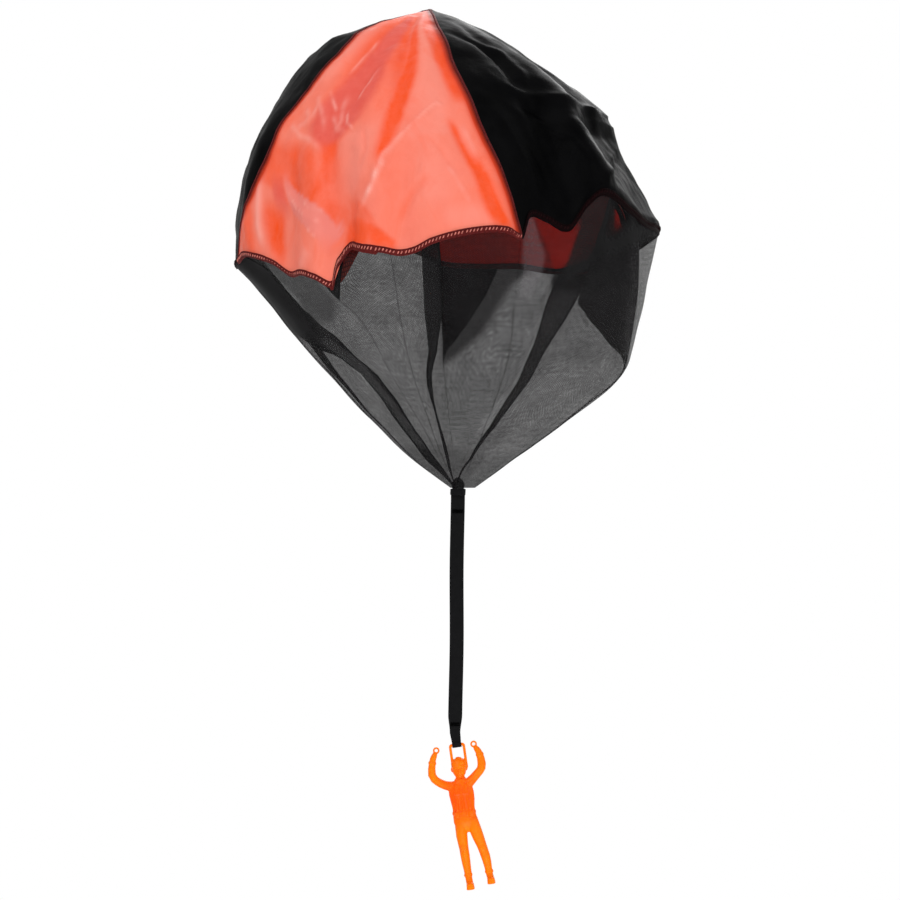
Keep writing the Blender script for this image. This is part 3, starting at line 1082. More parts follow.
def make_hem_folds():
    """The black gore's corner turned along the rear hem, and the front hem's tuck."""
    upper = ((102, 0.950), (106, 0.935), (120.7, 0.93), (127, 0.945), (133, 0.966), (144, 0.990), (148, 0.998))

    def corner(across, along):
        azimuth = mix(102, 147.5, across)
        at = mix(straight_through(upper, 1, azimuth), 1.0, along)
        point, _ = canopy_point(azimuth, at, 0.0012 + 0.0008 * sin(azimuth * 0.6))
        return point, (HEM_RADIUS * radians(azimuth), at * GORE_LENGTH), None

    fold = cloth("hem_corner_fold", 60, 10, corner, (BLACK_NYLON,), NYLON)
    settle(fold, "canopy", "black_nylon")

    def tuck(across, along):
        azimuth = mix(-31.5, -21.5, across)
        top = mix(0.93, 0.960, across)
        foot = mix(1.004, 0.985, across ** 0.9)
        at = mix(top, foot, along)
        point, _ = canopy_point(azimuth, at, 0.0035 + 0.0022 * sin(pi * across))
        return point, (HEM_RADIUS * radians(azimuth), at * GORE_LENGTH), None

    flap = cloth("hem_tuck", 16, 12, tuck, (CORAL_TUCK,), NYLON)
    settle(flap, "canopy", "orange_nylon")


def make_apex_knot():
    """A thread knot through the apex: crossed turns outside, a round wad inside."""
    turns = []
    for k in range(5):
        spin = Matrix.Rotation(pi * k / 5, 4, "Z")
        points = []
        for step in range(9):
            share = step / 8 * 2 - 1
            points.append(spin @ Vector((0.0021 * share, 0.0002 * sin(step), 0.0002 - 0.0009 * share ** 2)))
        turns.append(wire(f"knot_turn_{k}", points, 0.00026, DARK_THREAD, sides=8))
    coil = []
    for step in range(61):
        turn = tau * step / 12
        radius = 0.0005 + 0.0022 * step / 60
        coil.append((radius * cos(turn), radius * sin(turn), -0.0016 - 0.0004 * (step % 2)))
    turns.append(wire("knot_wad", coil, 0.00034, DARK_THREAD, sides=8))
    stem = [(0, 0, 0.0001), (0, 0, -0.0008), (0.0001, 0, -0.0018)]
    turns.append(wire("knot_stem", stem, 0.0006, DARK_THREAD, sides=8))
    settle(joined("apex_knot", turns), "canopy", "stitch_thread", "apex_tack")


# ------------------------------------------------------------------ the skirt
def panel_stations(i):
    """The edges that one skirt panel runs to and fro between, from seam to seam. Each is a
    function of along; then how many columns each run between them has."""
    side = GORES[i]
    start, end = seam_azimuth(i, 1), seam_azimuth(i + 1, 1)
    own = [rows for panel, rows in PLEATS if panel == side]

    def edge(rows, column, pad=0.0):
        return lambda along: straight_through(rows, column, along) + pad

    stops = [lambda along: start]
    if side == "front":
        stops = [edge(own[0], 1, -0.6)]
    for rows in own:
        stops += [edge(rows, 2), edge(rows, 1)]
    if side == "left":
        shared = [rows for panel, rows in PLEATS if panel == "front"][0]
        stops.append(lambda along: straight_through(shared, 1, along) - 0.6 + FULL_TURN)
    else:
        stops.append(lambda along: end)
    lengths = [max(abs(b(at) - a(at)) for at in (0.0, 0.2, 0.6)) for a, b in zip(stops, stops[1:])]
    return stops, lengths


def make_skirt():
    for i, side in enumerate(GORES):
        stops, lengths = panel_stations(i)
        counts = [max(6, round(length * 1.25)) for length in lengths]
        columns = sum(counts)
        rows = 90
        starts = [sum(counts[:k]) for k in range(len(counts) + 1)]
        reach = [sum(lengths[:k]) for k in range(len(lengths) + 1)]

        def place(across, along, stops=stops, counts=counts, columns=columns, starts=starts, reach=reach, i=i):
            column = across * columns
            run = min(max(bisect_right(starts, column + 0.001) - 1, 0), len(counts) - 1)
            share = (column - starts[run]) / counts[run]
            at = mix(0.012, 1.0, along)
            azimuth = mix(stops[run](at), stops[run + 1](at), share)
            # A pleat's three runs lie one under the other.
            if run % 2:
                sink = mix(0.4, 1.0, share)
            else:
                low = 0.4 if run < len(counts) - 1 else 0.0
                high = 1.6 if run else 0.0
                sink = mix(high, low, smoothstep(share * 1.5 if run else share))
            depth = 0.0007 * sink * min(1, (1 - at) * 5 + 0.1)
            point = skirt_point(azimuth, at, depth)
            if hem_end(azimuth) < 0.999 and at < 0.08:
                top = canopy_point(azimuth, hem_end(azimuth), 0.0012)[0]
                point = top.lerp(point, smoothstep((at - 0.012) / 0.068))
            width = HEM_RADIUS * radians(mix(reach[run], reach[run + 1], share))
            dense, thin, lit = patch_at(TULLE_PATCHES, azimuth, at)
            if run % 2:
                # A pleat is dense, and its two pressed folds are darker.
                dense = max(dense, 0.50)
                width_here = abs(stops[run + 1](at) - stops[run](at)) * radians(1) * 0.11 * (1.02 - at)
                from_fold = min(share, 1 - share) * width_here / 0.0014
                if width_here > 0.0012:
                    dense = max(dense, 0.96 * exp(-from_fold ** 2))
            return point, (width, at * SKIRT_LENGTH), (dense, thin, lit)

        panel = cloth(f"tulle_{side}", columns, rows, place, (TULLE,), tinted=True)
        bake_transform(panel)
        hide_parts(f"skirt_{side}")

        def seam(across, along, i=i):
            azimuth = seam_azimuth(i, 1)
            at = mix(0.014, 0.93, along)
            point = skirt_point(azimuth, at, 0.0012)
            side_point = skirt_point(azimuth + 0.8, at, 0.0012)
            step = (side_point - point).normalized()
            return point + step * 0.0004 * (2 * across - 1), (across * 0.0008, at * SKIRT_LENGTH), None

        strip = cloth(f"tulle_seam_{i + 1}", 2, 100, seam, (TULLE_SEAM,))
        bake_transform(strip)
        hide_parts(f"skirt_seam_{i + 1}")


def make_gather():
    """The bunched end of the tulle, fluted by its pleats, and the thread wound round it."""
    top = -SKIRT_END_DROP + BUNCH_RISE
    foot = -SKIRT_END_DROP - WHIPPING_HEIGHT - 0.0005
    bm = bmesh.new()
    bmesh.ops.create_circle(bm, cap_ends=False, segments=72, radius=BUNCH_RADIUS * 0.2)
    ring = bm.edges[:]
    heights = [top - (top - foot) * k / 12 for k in range(13)]
    sizes = [0.25, 0.55, 0.80, 1.0, 1.12, 1.16, 1.1, 1.04, 1.02, 1.02, 1.02, 1.0, 0.9]
    for k, (height, size) in enumerate(zip(heights, sizes)):
        if k:
            grown = bmesh.ops.extrude_edge_only(bm, edges=ring)["geom"]
            verts = [v for v in grown if isinstance(v, bmesh.types.BMVert)]
            new = set(verts)
            ring = [e for e in bm.edges if e.verts[0] in new and e.verts[1] in new]
        else:
            verts = bm.verts[:]
        for n, vert in enumerate(verts):
            turn = Vector((vert.co.x, vert.co.y)).angle_signed(Vector((1, 0)), 0)
            flute = 1 + 0.10 * sin(turn * 18) + 0.04 * sin(turn * 7 + 1)
            radius = BUNCH_RADIUS * size * flute
            vert.co = (radius * cos(turn), radius * sin(turn), height)
        if k == 0:
            bmesh.ops.edgeloop_fill(bm, edges=ring)
    bmesh.ops.edgeloop_fill(bm, edges=ring)
    bmesh.ops.translate(bm, vec=(GATHER_OFFSET, 0, 0), verts=bm.verts)
    bunch = object_from(bm, "tulle_bunch", TULLE_BUNCHED)
    settle(bunch, "gather", "black_tulle", "gather_bunch")

    radius = BUNCH_RADIUS + CLEARANCE + WHIPPING_THICKNESS * 0.62
    start = -SKIRT_END_DROP - 0.0007
    layers = []
    for layer, (out, turns) in enumerate(((0.0, 9.5), (0.00028, 7.5))):
        points = []
        steps = int(turns * 20)
        for step in range(steps + 1):
            turn = tau * step / 20 * (1 if layer == 0 else -1)
            drop = (WHIPPING_HEIGHT - 0.0008) * step / steps
            wobble = 0.00005 * sin(step * 0.9)
            points.append((
                GATHER_OFFSET + (radius + out + wobble) * cos(turn), (radius + out + wobble) * sin(turn),
                start - drop if layer == 0 else start - (WHIPPING_HEIGHT - 0.0008) + drop,
            ))
        layers.append(wire(f"whipping_{layer}", points, 0.00026, BLACK_THREAD, sides=8))
    settle(joined("thread_whipping", layers), "gather", "stitch_thread", "gather_whipping")


# ------------------------------------------------------------------ the strap
def strap_at(point):
    """Half width and half thickness of the tape at a height of its line."""
    foot = ROCK_POINT.z
    narrow = smoothstep((point.z - foot) / 0.010)
    half = mix(STRAP_FOOT_WIDTH / 2, STRAP_WIDTH / 2, narrow)
    return half, STRAP_THICKNESS / 2 * 0.86


def strap_line(start, end, step=0.0006):
    """Points of the strap's line between two heights, with the slight curl of a soft tape."""
    count = max(2, round((start - end) / step))
    points = []
    for k in range(count + 1):
        z = mix(start, end, k / count)
        share = (TWIST_POINT.z - z) / (TWIST_POINT.z - ROCK_POINT.z)
        x = mix(TWIST_POINT.x, ROCK_POINT.x, share)
        bow = sin(pi * min(max(share, 0), 1))
        points.append(Vector((x - 0.00035 * bow * sin(share * 7), 0.0006 * bow * sin(share * 9), z)))
    return points


def tape(name, start, end):
    stations = [(p, *strap_at(p)) for p in strap_line(start, end)]
    obj = swept(name, stations, 28, (WEBBING,), square=5.0)
    return flat_uv(obj)


def bar_tack(name, centre, width, height):
    """A close zigzag of thread, sewn through the tape."""
    points = []
    rows = 16
    for k in range(rows + 1):
        side = 1 if k % 2 else -1
        points.append((centre.x + side * width / 2, centre.y, centre.z + height * (0.5 - k / rows)))
    return wire(name, points, 0.00017, BLACK_THREAD, sides=8)


def make_strap():
    top, foot = -SKIRT_END_DROP - 0.0012, ROCK_POINT.z
    cuts = (TWIST_POINT.z - 0.0100, -0.3375, -0.4035)
    head = tape("strap_tape_head", top, cuts[0])
    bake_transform(head)
    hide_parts("strap_head")
    stretches = (
        ("strap_tape_upper", cuts[0], cuts[1], "strap_top", "strap_upper", SWING_POINT, ("strap_upper",)),
        ("strap_tape_lower", cuts[1], cuts[2], "strap_upper", "strap_lower", FOLD_POINT, ("strap_lower",)),
    )
    for name, start, end, above, below, hinge, nodes in stretches:
        piece = tape(name, start, end)
        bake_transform(piece)
        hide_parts(*nodes)
        line = strap_line(start, end)
    # The foot narrows, and its end is turned round the bar.
    end = BAR_POINT + (ROCK_POINT - BAR_POINT).normalized() * 0.0012
    stations = [(p, *strap_at(p)) for p in strap_line(cuts[2], foot)]
    count = 12
    for k in range(1, count + 1):
        p = ROCK_POINT.lerp(end, k / count)
        stations.append((p, mix(STRAP_FOOT_WIDTH, EYE_WIDTH, k / count) / 2, STRAP_THICKNESS / 2 * 0.86))
    last = flat_uv(swept("strap_tape_foot", stations, 28, (WEBBING,), square=5.0))
    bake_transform(last)

    tack_out = Vector((0, -STRAP_THICKNESS / 2 - 0.00012, 0))
    for name, height, node, body in (
        ("bar_tack_head", SWING_POINT.z + 0.0042, "head_tack", "strap_top"),
        ("bar_tack_foot", ROCK_POINT.z + 0.0046, "eye_tack", "strap_lower"),
    ):
        line = strap_line(height + 0.0001, height - 0.0001)
        half, _ = strap_at(line[0])
        tacks = [
            bar_tack(f"{name}_{side}", line[0] + tack_out * side, half * 1.5, 0.0022) for side in (1, -1)
        ]
        settle(joined(name, tacks), body, "stitch_thread", node)


def make_eye():
    """The tape's end turned round the jumper's bar and sewn."""
    bore = LOOP_WIRE_RADIUS + 0.0002
    profile = []
    wall = EYE_WALL * 0.8
    bm = bmesh.new()
    bmesh.ops.create_circle(bm, cap_ends=False, segments=32, radius=bore)
    ring = bm.edges[:]
    outer = bmesh.ops.extrude_edge_only(bm, edges=ring)["geom"]
    verts = [v for v in outer if isinstance(v, bmesh.types.BMVert)]
    bmesh.ops.scale(bm, vec=((bore + wall) / bore, (bore + wall) / bore, 1), verts=verts)
    flat = bm.faces[:]
    grown = bmesh.ops.extrude_face_region(bm, geom=flat)["geom"]
    new = [v for v in grown if isinstance(v, bmesh.types.BMVert)]
    bmesh.ops.translate(bm, vec=(0, 0, EYE_WIDTH), verts=new)
    bmesh.ops.translate(bm, vec=(0, 0, -EYE_WIDTH / 2), verts=bm.verts)
    edges = [e for e in bm.edges if abs(e.verts[0].co.z) > EYE_WIDTH * 0.49 and abs(e.verts[1].co.z) > EYE_WIDTH * 0.49
             and abs(e.verts[0].co.xy.length - e.verts[1].co.xy.length) < 1e-6]
    bmesh.ops.bevel(
        bm, geom=edges, offset=0.00018, offset_type="OFFSET", segments=3, profile=0.5,
        affect="EDGES", clamp_overlap=True, material=-1,
    )
    turn = Matrix.Translation(BAR_POINT) @ Matrix.Rotation(radians(-JUMPER_TILT_DEGREES), 4, "Y") @ Matrix.Rotation(pi / 2, 4, "Y")
    bmesh.ops.transform(bm, matrix=turn, verts=bm.verts)
    eye = object_from(bm, "strap_tape_eye", WEBBING, sharp=50)
    layer = eye.data.uv_layers.new(name="cloth")
    for loop in eye.data.loops:
        co = eye.data.vertices[loop.vertex_index].co - BAR_POINT
        around = Vector((co.y, co.z)).angle_signed(Vector((0, 1)), 0) * (bore + wall)
        layer.data[loop.index].uv = (co.x, around)
    settle(eye, "eye", "strap_webbing", "strap_eye")


# ------------------------------------------------------------------ the jumper
HEAD_SHARES = (
    (-0.003, 0.0, 0.010, 0.030, 0.034), (-0.004, 0.0, 0.022, 0.043, 0.048), (-0.006, 0.0, 0.045, 0.053, 0.058),
    (-0.007, 0.0, 0.070, 0.057, 0.062), (-0.008, -0.001, 0.100, 0.054, 0.060), (-0.009, -0.003, 0.125, 0.047, 0.054),
    (-0.010, -0.006, 0.144, 0.033, 0.040), (-0.010, -0.008, 0.152, 0.018, 0.022),
)
NECK_SHARES = (
    (-0.008, 0.006, 0.100, 0.034, 0.036), (-0.009, 0.006, 0.150, 0.035, 0.036), (-0.008, 0.003, 0.185, 0.045, 0.040),
)
TRUNK_SHARES = (
    (-0.007, 0.002, 0.160, 0.030, 0.030), (-0.006, 0.001, 0.176, 0.056, 0.042), (-0.008, 0.0, 0.196, 0.080, 0.048),
    (-0.017, 0.0, 0.232, 0.094, 0.053), (-0.016, -0.001, 0.275, 0.097, 0.056), (-0.014, 0.0, 0.330, 0.093, 0.052),
    (-0.015, 0.0, 0.380, 0.086, 0.047), (-0.016, 0.0, 0.426, 0.086, 0.046), (-0.015, 0.001, 0.455, 0.090, 0.049),
    (-0.014, 0.002, 0.490, 0.092, 0.051), (-0.012, 0.002, 0.525, 0.084, 0.046), (-0.010, 0.002, 0.548, 0.060, 0.036),
)
LEFT_ARM_SHARES = (
    (-0.040, 0.0, 0.222, 0.036, 0.036), (-0.070, 0.0, 0.214, 0.039, 0.039), (-0.100, 0.0, 0.209, 0.037, 0.037),
    (-0.130, 0.0, 0.198, 0.034, 0.034), (-0.159, 0.0, 0.182, 0.033, 0.033), (-0.186, 0.0, 0.162, 0.031, 0.032),
    (-0.207, 0.0, 0.140, 0.031, 0.031), (-0.221, 0.0, 0.105, 0.031, 0.030), (-0.217, 0.0, 0.060, 0.029, 0.029),
    (-0.205, 0.0, 0.011, 0.026, 0.026), (-0.196, 0.0, -0.016, 0.024, 0.024), (-0.186, 0.0, -0.034, 0.023, 0.026),
    (-0.177, 0.0, -0.050, 0.019, 0.022), (-0.171, 0.0, -0.062, 0.010, 0.012),
)
RIGHT_ARM_SHARES = (
    (0.020, 0.0, 0.226, 0.036, 0.036), (0.045, 0.0, 0.209, 0.039, 0.039), (0.070, 0.0, 0.189, 0.037, 0.037),
    (0.097, 0.0, 0.167, 0.034, 0.034), (0.123, 0.0, 0.144, 0.033, 0.033), (0.146, 0.0, 0.124, 0.032, 0.032),
    (0.162, 0.0, 0.104, 0.033, 0.032), (0.170, 0.0, 0.070, 0.033, 0.031), (0.169, 0.0, 0.030, 0.030, 0.029),
    (0.164, 0.0, -0.006, 0.027, 0.027), (0.157, 0.0, -0.028, 0.025, 0.025), (0.148, 0.0, -0.046, 0.023, 0.026),
    (0.140, 0.0, -0.060, 0.019, 0.022), (0.135, 0.0, -0.072, 0.010, 0.012),
)
LEFT_LEG_SHARES = (
    (-0.048, 0.0, 0.470, 0.046, 0.044), (-0.054, 0.0, 0.530, 0.047, 0.046), (-0.059, 0.0, 0.600, 0.044, 0.044),
    (-0.058, -0.001, 0.660, 0.039, 0.039), (-0.056, -0.002, 0.706, 0.036, 0.038), (-0.055, 0.001, 0.755, 0.036, 0.039),
    (-0.054, 0.004, 0.805, 0.034, 0.038), (-0.052, 0.004, 0.860, 0.030, 0.033), (-0.051, 0.003, 0.910, 0.027, 0.029),
    (-0.049, 0.002, 0.960, 0.027, 0.030), (-0.048, 0.002, 0.985, 0.026, 0.030),
)
RIGHT_LEG_SHARES = (
    (0.034, 0.0, 0.480, 0.046, 0.044), (0.050, 0.0, 0.560, 0.047, 0.046), (0.067, 0.0, 0.632, 0.044, 0.043),
    (0.080, -0.001, 0.683, 0.039, 0.039), (0.090, -0.002, 0.727, 0.037, 0.038), (0.100, 0.001, 0.778, 0.036, 0.038),
    (0.106, 0.004, 0.826, 0.033, 0.036), (0.109, 0.004, 0.872, 0.029, 0.032), (0.111, 0.003, 0.915, 0.027, 0.029),
    (0.115, 0.002, 0.950, 0.027, 0.030), (0.116, 0.002, 0.968, 0.026, 0.030),
)
RING_SHARES = ((-0.163, -0.076), (0.129, -0.087))
SOLE_SHARES = ((-0.047, 1.01), (0.117, 0.988))


def in_jumper(across, back, down):
    """A place on the jumper from shares of its height, before it is tilted."""
    return Vector((across * JUMPER_HEIGHT, back * JUMPER_HEIGHT, -CROWN_DROP - down * JUMPER_HEIGHT))


def limb(name, shares, sides=24):
    stations = [(in_jumper(*row[:3]), row[3] * JUMPER_HEIGHT, row[4] * JUMPER_HEIGHT) for row in shares]
    ends = []
    for near, far in ((stations[0], stations[1]), (stations[-1], stations[-2])):
        out = (near[0] - far[0]).normalized() * near[1] * 0.5
        ends.append((near[0] + out, near[1] * 0.55, near[2] * 0.55))
    return swept(name, [ends[0], *stations, ends[1]], sides, ())


def pad(name, place, size, turn=0.0, square=2.4):
    """A rounded lump: its place in shares, and its half sizes across, back and up."""
    bm = bmesh.new()
    bmesh.ops.create_uvsphere(bm, u_segments=20, v_segments=12, radius=1.0)
    for vert in bm.verts:
        for k in range(3):
            vert.co[k] = (1 if vert.co[k] > 0 else -1) * abs(vert.co[k]) ** (2 / square)
    matrix = (
        Matrix.Translation(in_jumper(*place)) @ Matrix.Rotation(turn, 4, "Y")
        @ Matrix.Diagonal((*(s * JUMPER_HEIGHT for s in size), 1))
    )
    bmesh.ops.transform(bm, matrix=matrix, verts=bm.verts)
    return object_from(bm, name)


def cuff(name, centre, direction, half_width, half_depth, half_height):
    """A raised band round a limb."""
    along = Vector(direction).normalized()
    stations = []
    for share, size in ((-1, 0.90), (-0.75, 1.0), (0.75, 1.0), (1, 0.90)):
        at = in_jumper(*centre) + along * half_height * JUMPER_HEIGHT * share
        stations.append((at, half_width * JUMPER_HEIGHT * size, half_depth * JUMPER_HEIGHT * size))
    return swept(name, stations, 28, ())


def boot(name, place):
    """A boot with a rounded toe, a heel and a welted sole."""
    across, down = place
    parts = []
    length, width, height = 0.0086, 0.0046, 0.0034
    heel = length * 0.32
    sole = -CROWN_DROP - down * JUMPER_HEIGHT
    for part, size, centre, soft in (
        ("upper", (width * 0.94, length * 0.94, height), (0, 0, height / 2 + 0.0001), 0.0013),
        ("welt", (width, length, 0.0009), (0, 0, 0.00045), 0.0003),
    ):
        bm = bmesh.new()
        spot = (across * JUMPER_HEIGHT + centre[0], heel - length / 2 + centre[1], sole + centre[2])
        bmesh.ops.create_cube(bm, size=1, matrix=Matrix.Translation(spot) @ Matrix.Diagonal((*size, 1)))
        upright = [e for e in bm.edges if abs(e.verts[0].co.z - e.verts[1].co.z) > size[2] / 2]
        bmesh.ops.bevel(
            bm, geom=upright, offset=width * 0.36, offset_type="OFFSET", segments=6, profile=0.5,
            affect="EDGES", clamp_overlap=True, material=-1,
        )
        above = [e for e in bm.edges if min(v.co.z for v in e.verts) > spot[2]]
        bmesh.ops.bevel(
            bm, geom=above, offset=soft, offset_type="OFFSET", segments=4, profile=0.5,
            affect="EDGES", clamp_overlap=True, material=-1,
        )
        parts.append(object_from(bm, f"{name}_{part}"))
    return parts


def loop_points():
    """The wire over the head: up one side, over the bar and down the other."""
    reach = LOOP_INNER_WIDTH / 2 + LOOP_WIRE_RADIUS
    foot = -CROWN_DROP - 0.085 * JUMPER_HEIGHT
    points = [Vector((-reach, 0, foot))]
    for side in (-1, 1):
        for step in range(7):
            turn = radians(15 * step) if side < 0 else radians(90 - 15 * step)
            out = reach - LOOP_CORNER_RADIUS * (1 - cos(turn))
            points.append(Vector((side * out, 0, -LOOP_CORNER_RADIUS * (1 - sin(turn)))))
    points.append(Vector((reach, 0, foot)))
    return [(point, LOOP_WIRE_RADIUS, LOOP_WIRE_RADIUS) for point in points]


def hand_ring(name, place):
    bm = bmesh.new()
    bmesh.ops.create_circle(
        bm, cap_ends=False, segments=14, radius=HAND_WIRE_RADIUS,
        matrix=Matrix.Translation((HAND_RING_RADIUS, 0, 0)) @ Matrix.Rotation(pi / 2, 4, "X"),
    )
    bmesh.ops.spin(
        bm, geom=bm.verts[:] + bm.edges[:], axis=(0, 0, 1), cent=(0, 0, 0), angle=tau, steps=28,
        use_merge=True,
    )
    matrix = Matrix.Translation(in_jumper(place[0], 0, place[1])) @ Matrix.Rotation(pi / 2, 4, "X")
    bmesh.ops.transform(bm, matrix=matrix, verts=bm.verts)
    return object_from(bm, name)


def dent(verts, centre, radius, depth):
    """Presses the front of the surface in round a place, or swells it where depth is below 0."""
    at = in_jumper(*centre)
    reach = radius * JUMPER_HEIGHT
    for vert in verts:
        away = (Vector((vert.co.x, vert.co.z)) - Vector((at.x, at.z))).length / reach
        if away < 1.6 and vert.co.y < at.y:
            vert.co.y += depth * JUMPER_HEIGHT * exp(-away * away * 2.2)


def make_jumper():
    parts = [
        limb("head", HEAD_SHARES, 32), limb("neck", NECK_SHARES), limb("trunk", TRUNK_SHARES, 36),
        limb("arm_left", LEFT_ARM_SHARES), limb("arm_right", RIGHT_ARM_SHARES),
        limb("leg_left", LEFT_LEG_SHARES), limb("leg_right", RIGHT_LEG_SHARES),
        # A close cap, ears and a plain face.
        pad("cap", (-0.005, 0.006, 0.046), (0.061, 0.062, 0.042), square=2.1),
        pad("cap_rim", (-0.005, 0.000, 0.060), (0.0615, 0.067, 0.006), square=2.2),
        pad("ear_left", (-0.064, 0.006, 0.088), (0.008, 0.013, 0.018)),
        pad("ear_right", (0.049, 0.006, 0.088), (0.008, 0.013, 0.018)),
        pad("nose", (-0.008, -0.062, 0.094), (0.0085, 0.012, 0.015), square=2.0),
        pad("brow", (-0.008, -0.056, 0.074), (0.036, 0.009, 0.006)),
        pad("chin", (-0.010, -0.049, 0.135), (0.018, 0.012, 0.011)),
        pad("lips", (-0.009, -0.057, 0.116), (0.015, 0.006, 0.0048)),
        # Suit: collar, yoke, pockets, belt and knees.
        cuff("collar", (-0.009, 0.004, 0.172), (0, 0, 1), 0.047, 0.046, 0.010),
        cuff("belt", (-0.016, 0.0, 0.424), (0.02, 0, 1), 0.092, 0.052, 0.013),
        pad("buckle", (-0.018, -0.051, 0.424), (0.017, 0.007, 0.015), square=6),
        pad("pouch_left", (-0.070, -0.044, 0.432), (0.019, 0.014, 0.024), square=5),
        pad("pouch_right", (0.038, -0.044, 0.432), (0.019, 0.014, 0.024), square=5),
        pad("placket", (-0.015, -0.053, 0.305), (0.0075, 0.005, 0.100), square=6),
        pad("brace_left", (-0.058, -0.046, 0.300), (0.010, 0.010, 0.105), 0.05, square=6),
        pad("brace_right", (0.028, -0.046, 0.300), (0.010, 0.010, 0.105), -0.05, square=6),
        pad("chest_strap", (-0.015, -0.050, 0.270), (0.056, 0.008, 0.0085), square=6),
        pad("brace_back_left", (-0.050, 0.043, 0.300), (0.010, 0.010, 0.105), 0.12, square=6),
        pad("brace_back_right", (0.020, 0.043, 0.300), (0.010, 0.010, 0.105), -0.12, square=6),
        pad("pack", (-0.015, 0.050, 0.270), (0.060, 0.022, 0.062), square=5),
        pad("knee_left", (-0.057, -0.033, 0.690), (0.023, 0.013, 0.026), square=3),
        pad("knee_right", (0.086, -0.033, 0.712), (0.023, 0.013, 0.026), -0.2, square=3),
        # Wrists and boot tops.
        cuff("wrist_left", (-0.2065, 0, 0.016), (0.35, 0, 1.35), 0.031, 0.031, 0.009),
        cuff("wrist_right", (0.1645, 0, -0.002), (-0.15, 0, 1), 0.031, 0.031, 0.009),
        cuff("boot_top_left", (-0.0515, 0.003, 0.905), (-0.04, 0, 1), 0.033, 0.035, 0.010),
        cuff("boot_top_right", (0.1110, 0.003, 0.900), (-0.06, 0, 1), 0.033, 0.035, 0.010),
        hand_ring("hand_left", RING_SHARES[0]), hand_ring("hand_right", RING_SHARES[1]),
        swept("head_loop", loop_points(), 16, ()),
        *boot("boot_left", SOLE_SHARES[0]), *boot("boot_right", SOLE_SHARES[1]),
    ]
    bm = bmesh.new()
    for part in parts:
        mesh = part.data
        bm.from_mesh(mesh)
        bpy.data.objects.remove(part)
        bpy.data.meshes.remove(mesh)
    whole = object_from(bm, "moulding_guide", weld=False)
    # The mould makes all of it one skin.
    skin = whole.modifiers.new("one skin", "REMESH")
    skin.mode = "VOXEL"
    skin.voxel_size = 0.00032
    skin.adaptivity = 0
    bpy.context.view_layer.update()
    mesh = bpy.data.meshes.new_from_object(whole.evaluated_get(bpy.context.evaluated_depsgraph_get()))
    bpy.data.objects.remove(whole)
    bm = bmesh.new()
    bm.from_mesh(mesh)
    bpy.data.meshes.remove(mesh)
    face = [v for v in bm.verts if v.co.z > -CROWN_DROP - 0.15 * JUMPER_HEIGHT and abs(v.co.x) < 0.06 * JUMPER_HEIGHT]
    front = [v for v in face if v.co.y < -0.03 * JUMPER_HEIGHT]
    for across in (-0.029, 0.012):
        dent(front, (across, 0, 0.086), 0.011, 0.010)
        dent(front, (across, 0, 0.087), 0.005, -0.0045)
    dent(front, (-0.009, 0, 0.1165), 0.0035, 0.003)
    dent(front, (-0.017, 0, 0.1165), 0.0035, 0.003)
    dent(front, (-0.001, 0, 0.1165), 0.0035, 0.003)
    for _ in range(2):
        bmesh.ops.smooth_vert(bm, verts=bm.verts, factor=0.5, use_axis_x=True, use_axis_y=True, use_axis_z=True)
    tilt = Matrix.Translation(BAR_POINT) @ Matrix.Rotation(radians(-JUMPER_TILT_DEGREES), 4, "Y")
    bmesh.ops.transform(bm, matrix=tilt, verts=bm.verts)
    moulding = object_from(bm, "plastic_jumper", PLASTIC, weld=False)
    settle(moulding, "jumper", "orange_plastic", "jumper")


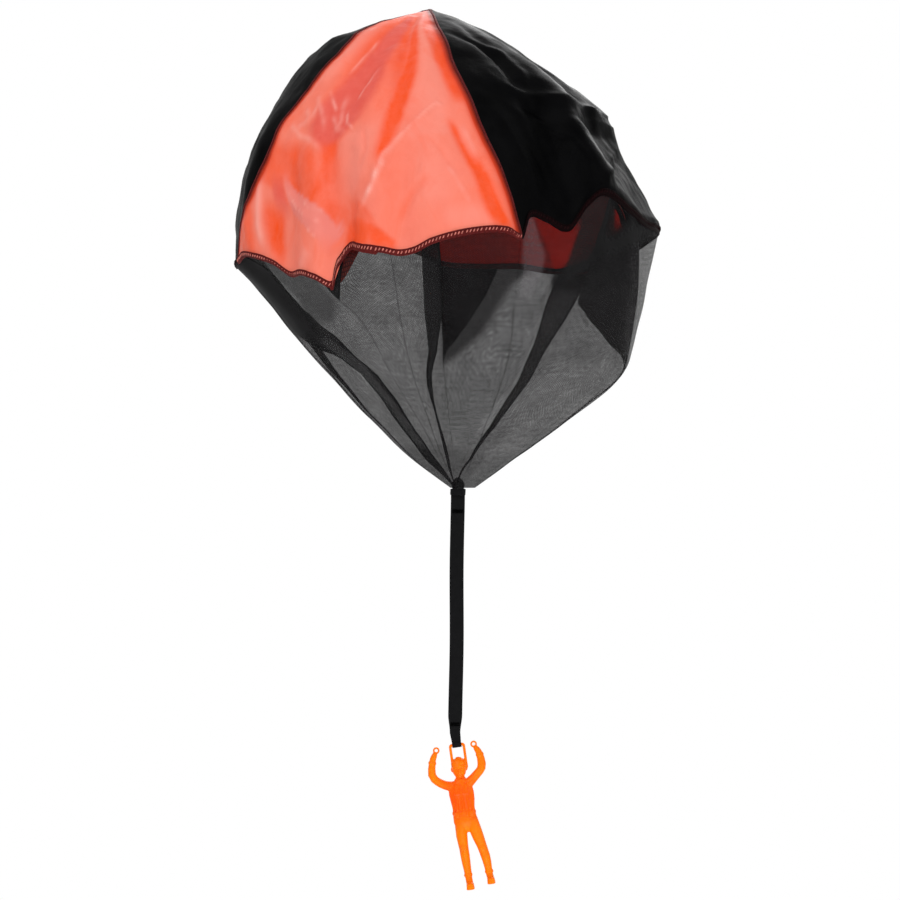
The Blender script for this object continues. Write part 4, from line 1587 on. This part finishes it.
# ------------------------------------------------------------------ the stage
def make_stage():
    camera = bpy.data.cameras.new("camera")
    camera.lens = 98.6
    camera.sensor_width = 36
    camera.clip_end = 20
    seat = bpy.data.objects.new("camera", camera)
    seat.location = (0.0114, -1.4, -0.25)
    seat.rotation_euler = (pi / 2, 0, 0)
    bpy.context.scene.collection.objects.link(seat)
    bpy.context.scene.camera = seat

    world = bpy.data.worlds.new("studio")
    bpy.context.scene.world = world
    world.use_nodes = True
    tree = world.node_tree
    tree.nodes.clear()
    out = tree.nodes.new("ShaderNodeOutputWorld")
    path = tree.nodes.new("ShaderNodeLightPath")
    seen = tree.nodes.new("ShaderNodeBackground")
    light = tree.nodes.new("ShaderNodeBackground")
    either = tree.nodes.new("ShaderNodeMixShader")
    seen.inputs["Color"].default_value = (1, 1, 1, 1)
    seen.inputs["Strength"].default_value = 1.0
    light.inputs["Color"].default_value = (0.95, 0.97, 1.0, 1)
    light.inputs["Strength"].default_value = 0.50
    total = None
    for ray in ("Is Camera Ray", "Is Glossy Ray", "Is Transmission Ray"):
        if total is None:
            total = path.outputs[ray]
            continue
        add = tree.nodes.new("ShaderNodeMath")
        add.operation = "ADD"
        add.use_clamp = True
        tree.links.new(total, add.inputs[0])
        tree.links.new(path.outputs[ray], add.inputs[1])
        total = add.outputs[0]
    tree.links.new(total, either.inputs[0])
    tree.links.new(light.outputs[0], either.inputs[1])
    tree.links.new(seen.outputs[0], either.inputs[2])
    tree.links.new(either.outputs[0], out.inputs["Surface"])

    bm = bmesh.new()
    bmesh.ops.create_circle(bm, cap_ends=True, segments=96, radius=1.25, matrix=Matrix.Translation((0, 0, -0.95)))
    floor = object_from(bm, "floor", weld=False, smooth=False)
    ground = bpy.data.materials.new("pale floor")
    ground.use_nodes = True
    tree = ground.node_tree
    tree.nodes.clear()
    out = tree.nodes.new("ShaderNodeOutputMaterial")
    path = tree.nodes.new("ShaderNodeLightPath")
    matt = tree.nodes.new("ShaderNodeBsdfDiffuse")
    matt.inputs["Color"].default_value = (0.82, 0.82, 0.82, 1)
    glow = tree.nodes.new("ShaderNodeEmission")
    glow.inputs["Strength"].default_value = 1.0
    both = tree.nodes.new("ShaderNodeMixShader")
    coordinates = tree.nodes.new("ShaderNodeTexCoord")
    length = tree.nodes.new("ShaderNodeVectorMath")
    length.operation = "LENGTH"
    offset = tree.nodes.new("ShaderNodeVectorMath")
    offset.operation = "SUBTRACT"
    offset.inputs[1].default_value = (0, 0, -0.95)
    fade = tree.nodes.new("ShaderNodeMapRange")
    for k, value in enumerate((0.45, 1.15, 0.80, 1.0)):
        fade.inputs[1 + k].default_value = value
    tree.links.new(coordinates.outputs["Object"], offset.inputs[0])
    tree.links.new(offset.outputs[0], length.inputs[0])
    tree.links.new(length.outputs["Value"], fade.inputs["Value"])
    total = None
    for ray in ("Is Camera Ray", "Is Glossy Ray", "Is Transmission Ray"):
        if total is None:
            total = path.outputs[ray]
            continue
        add = tree.nodes.new("ShaderNodeMath")
        add.operation = "ADD"
        add.use_clamp = True
        tree.links.new(total, add.inputs[0])
        tree.links.new(path.outputs[ray], add.inputs[1])
        total = add.outputs[0]
    share = tree.nodes.new("ShaderNodeMath")
    share.operation = "MULTIPLY"
    tree.links.new(total, share.inputs[0])
    tree.links.new(fade.outputs["Result"], share.inputs[1])
    tree.links.new(share.outputs[0], both.inputs[0])
    tree.links.new(matt.outputs[0], both.inputs[1])
    tree.links.new(glow.outputs[0], both.inputs[2])
    tree.links.new(both.outputs[0], out.inputs["Surface"])
    floor.data.materials.append(ground)

    for name, place, aim, size, power in (
        ("key", (-0.75, -1.15, 0.55), (0.0, 0, -0.12), 0.7, 12.0),
        ("fill", (1.1, -0.9, 0.10), (0.0, 0, -0.20), 0.9, 6.0),
        ("back", (0.3, 1.2, 0.60), (0.0, 0, -0.15), 0.8, 8.0),
        ("low", (0.15, -0.55, -0.85), (0.0, 0, -0.10), 0.6, 5.0),
        ("overhead", (-0.25, -0.45, 1.10), (0.0, 0, -0.10), 0.9, 6.0),
    ):
        lamp = bpy.data.lights.new(name, "AREA")
        lamp.size = size
        lamp.energy = power
        holder = bpy.data.objects.new(name, lamp)
        holder.location = place
        holder.rotation_euler = (Vector(aim) - Vector(place)).to_track_quat("-Z", "Y").to_euler()
        bpy.context.scene.collection.objects.link(holder)
    bpy.context.scene.view_settings.view_transform = "Standard"


make_stage()
make_strap()
make_apex_knot()
make_gores()
make_seams()
make_hem()
make_hem_folds()
make_skirt()
make_gather()
make_eye()
make_jumper()

bpy.context.view_layer.update()
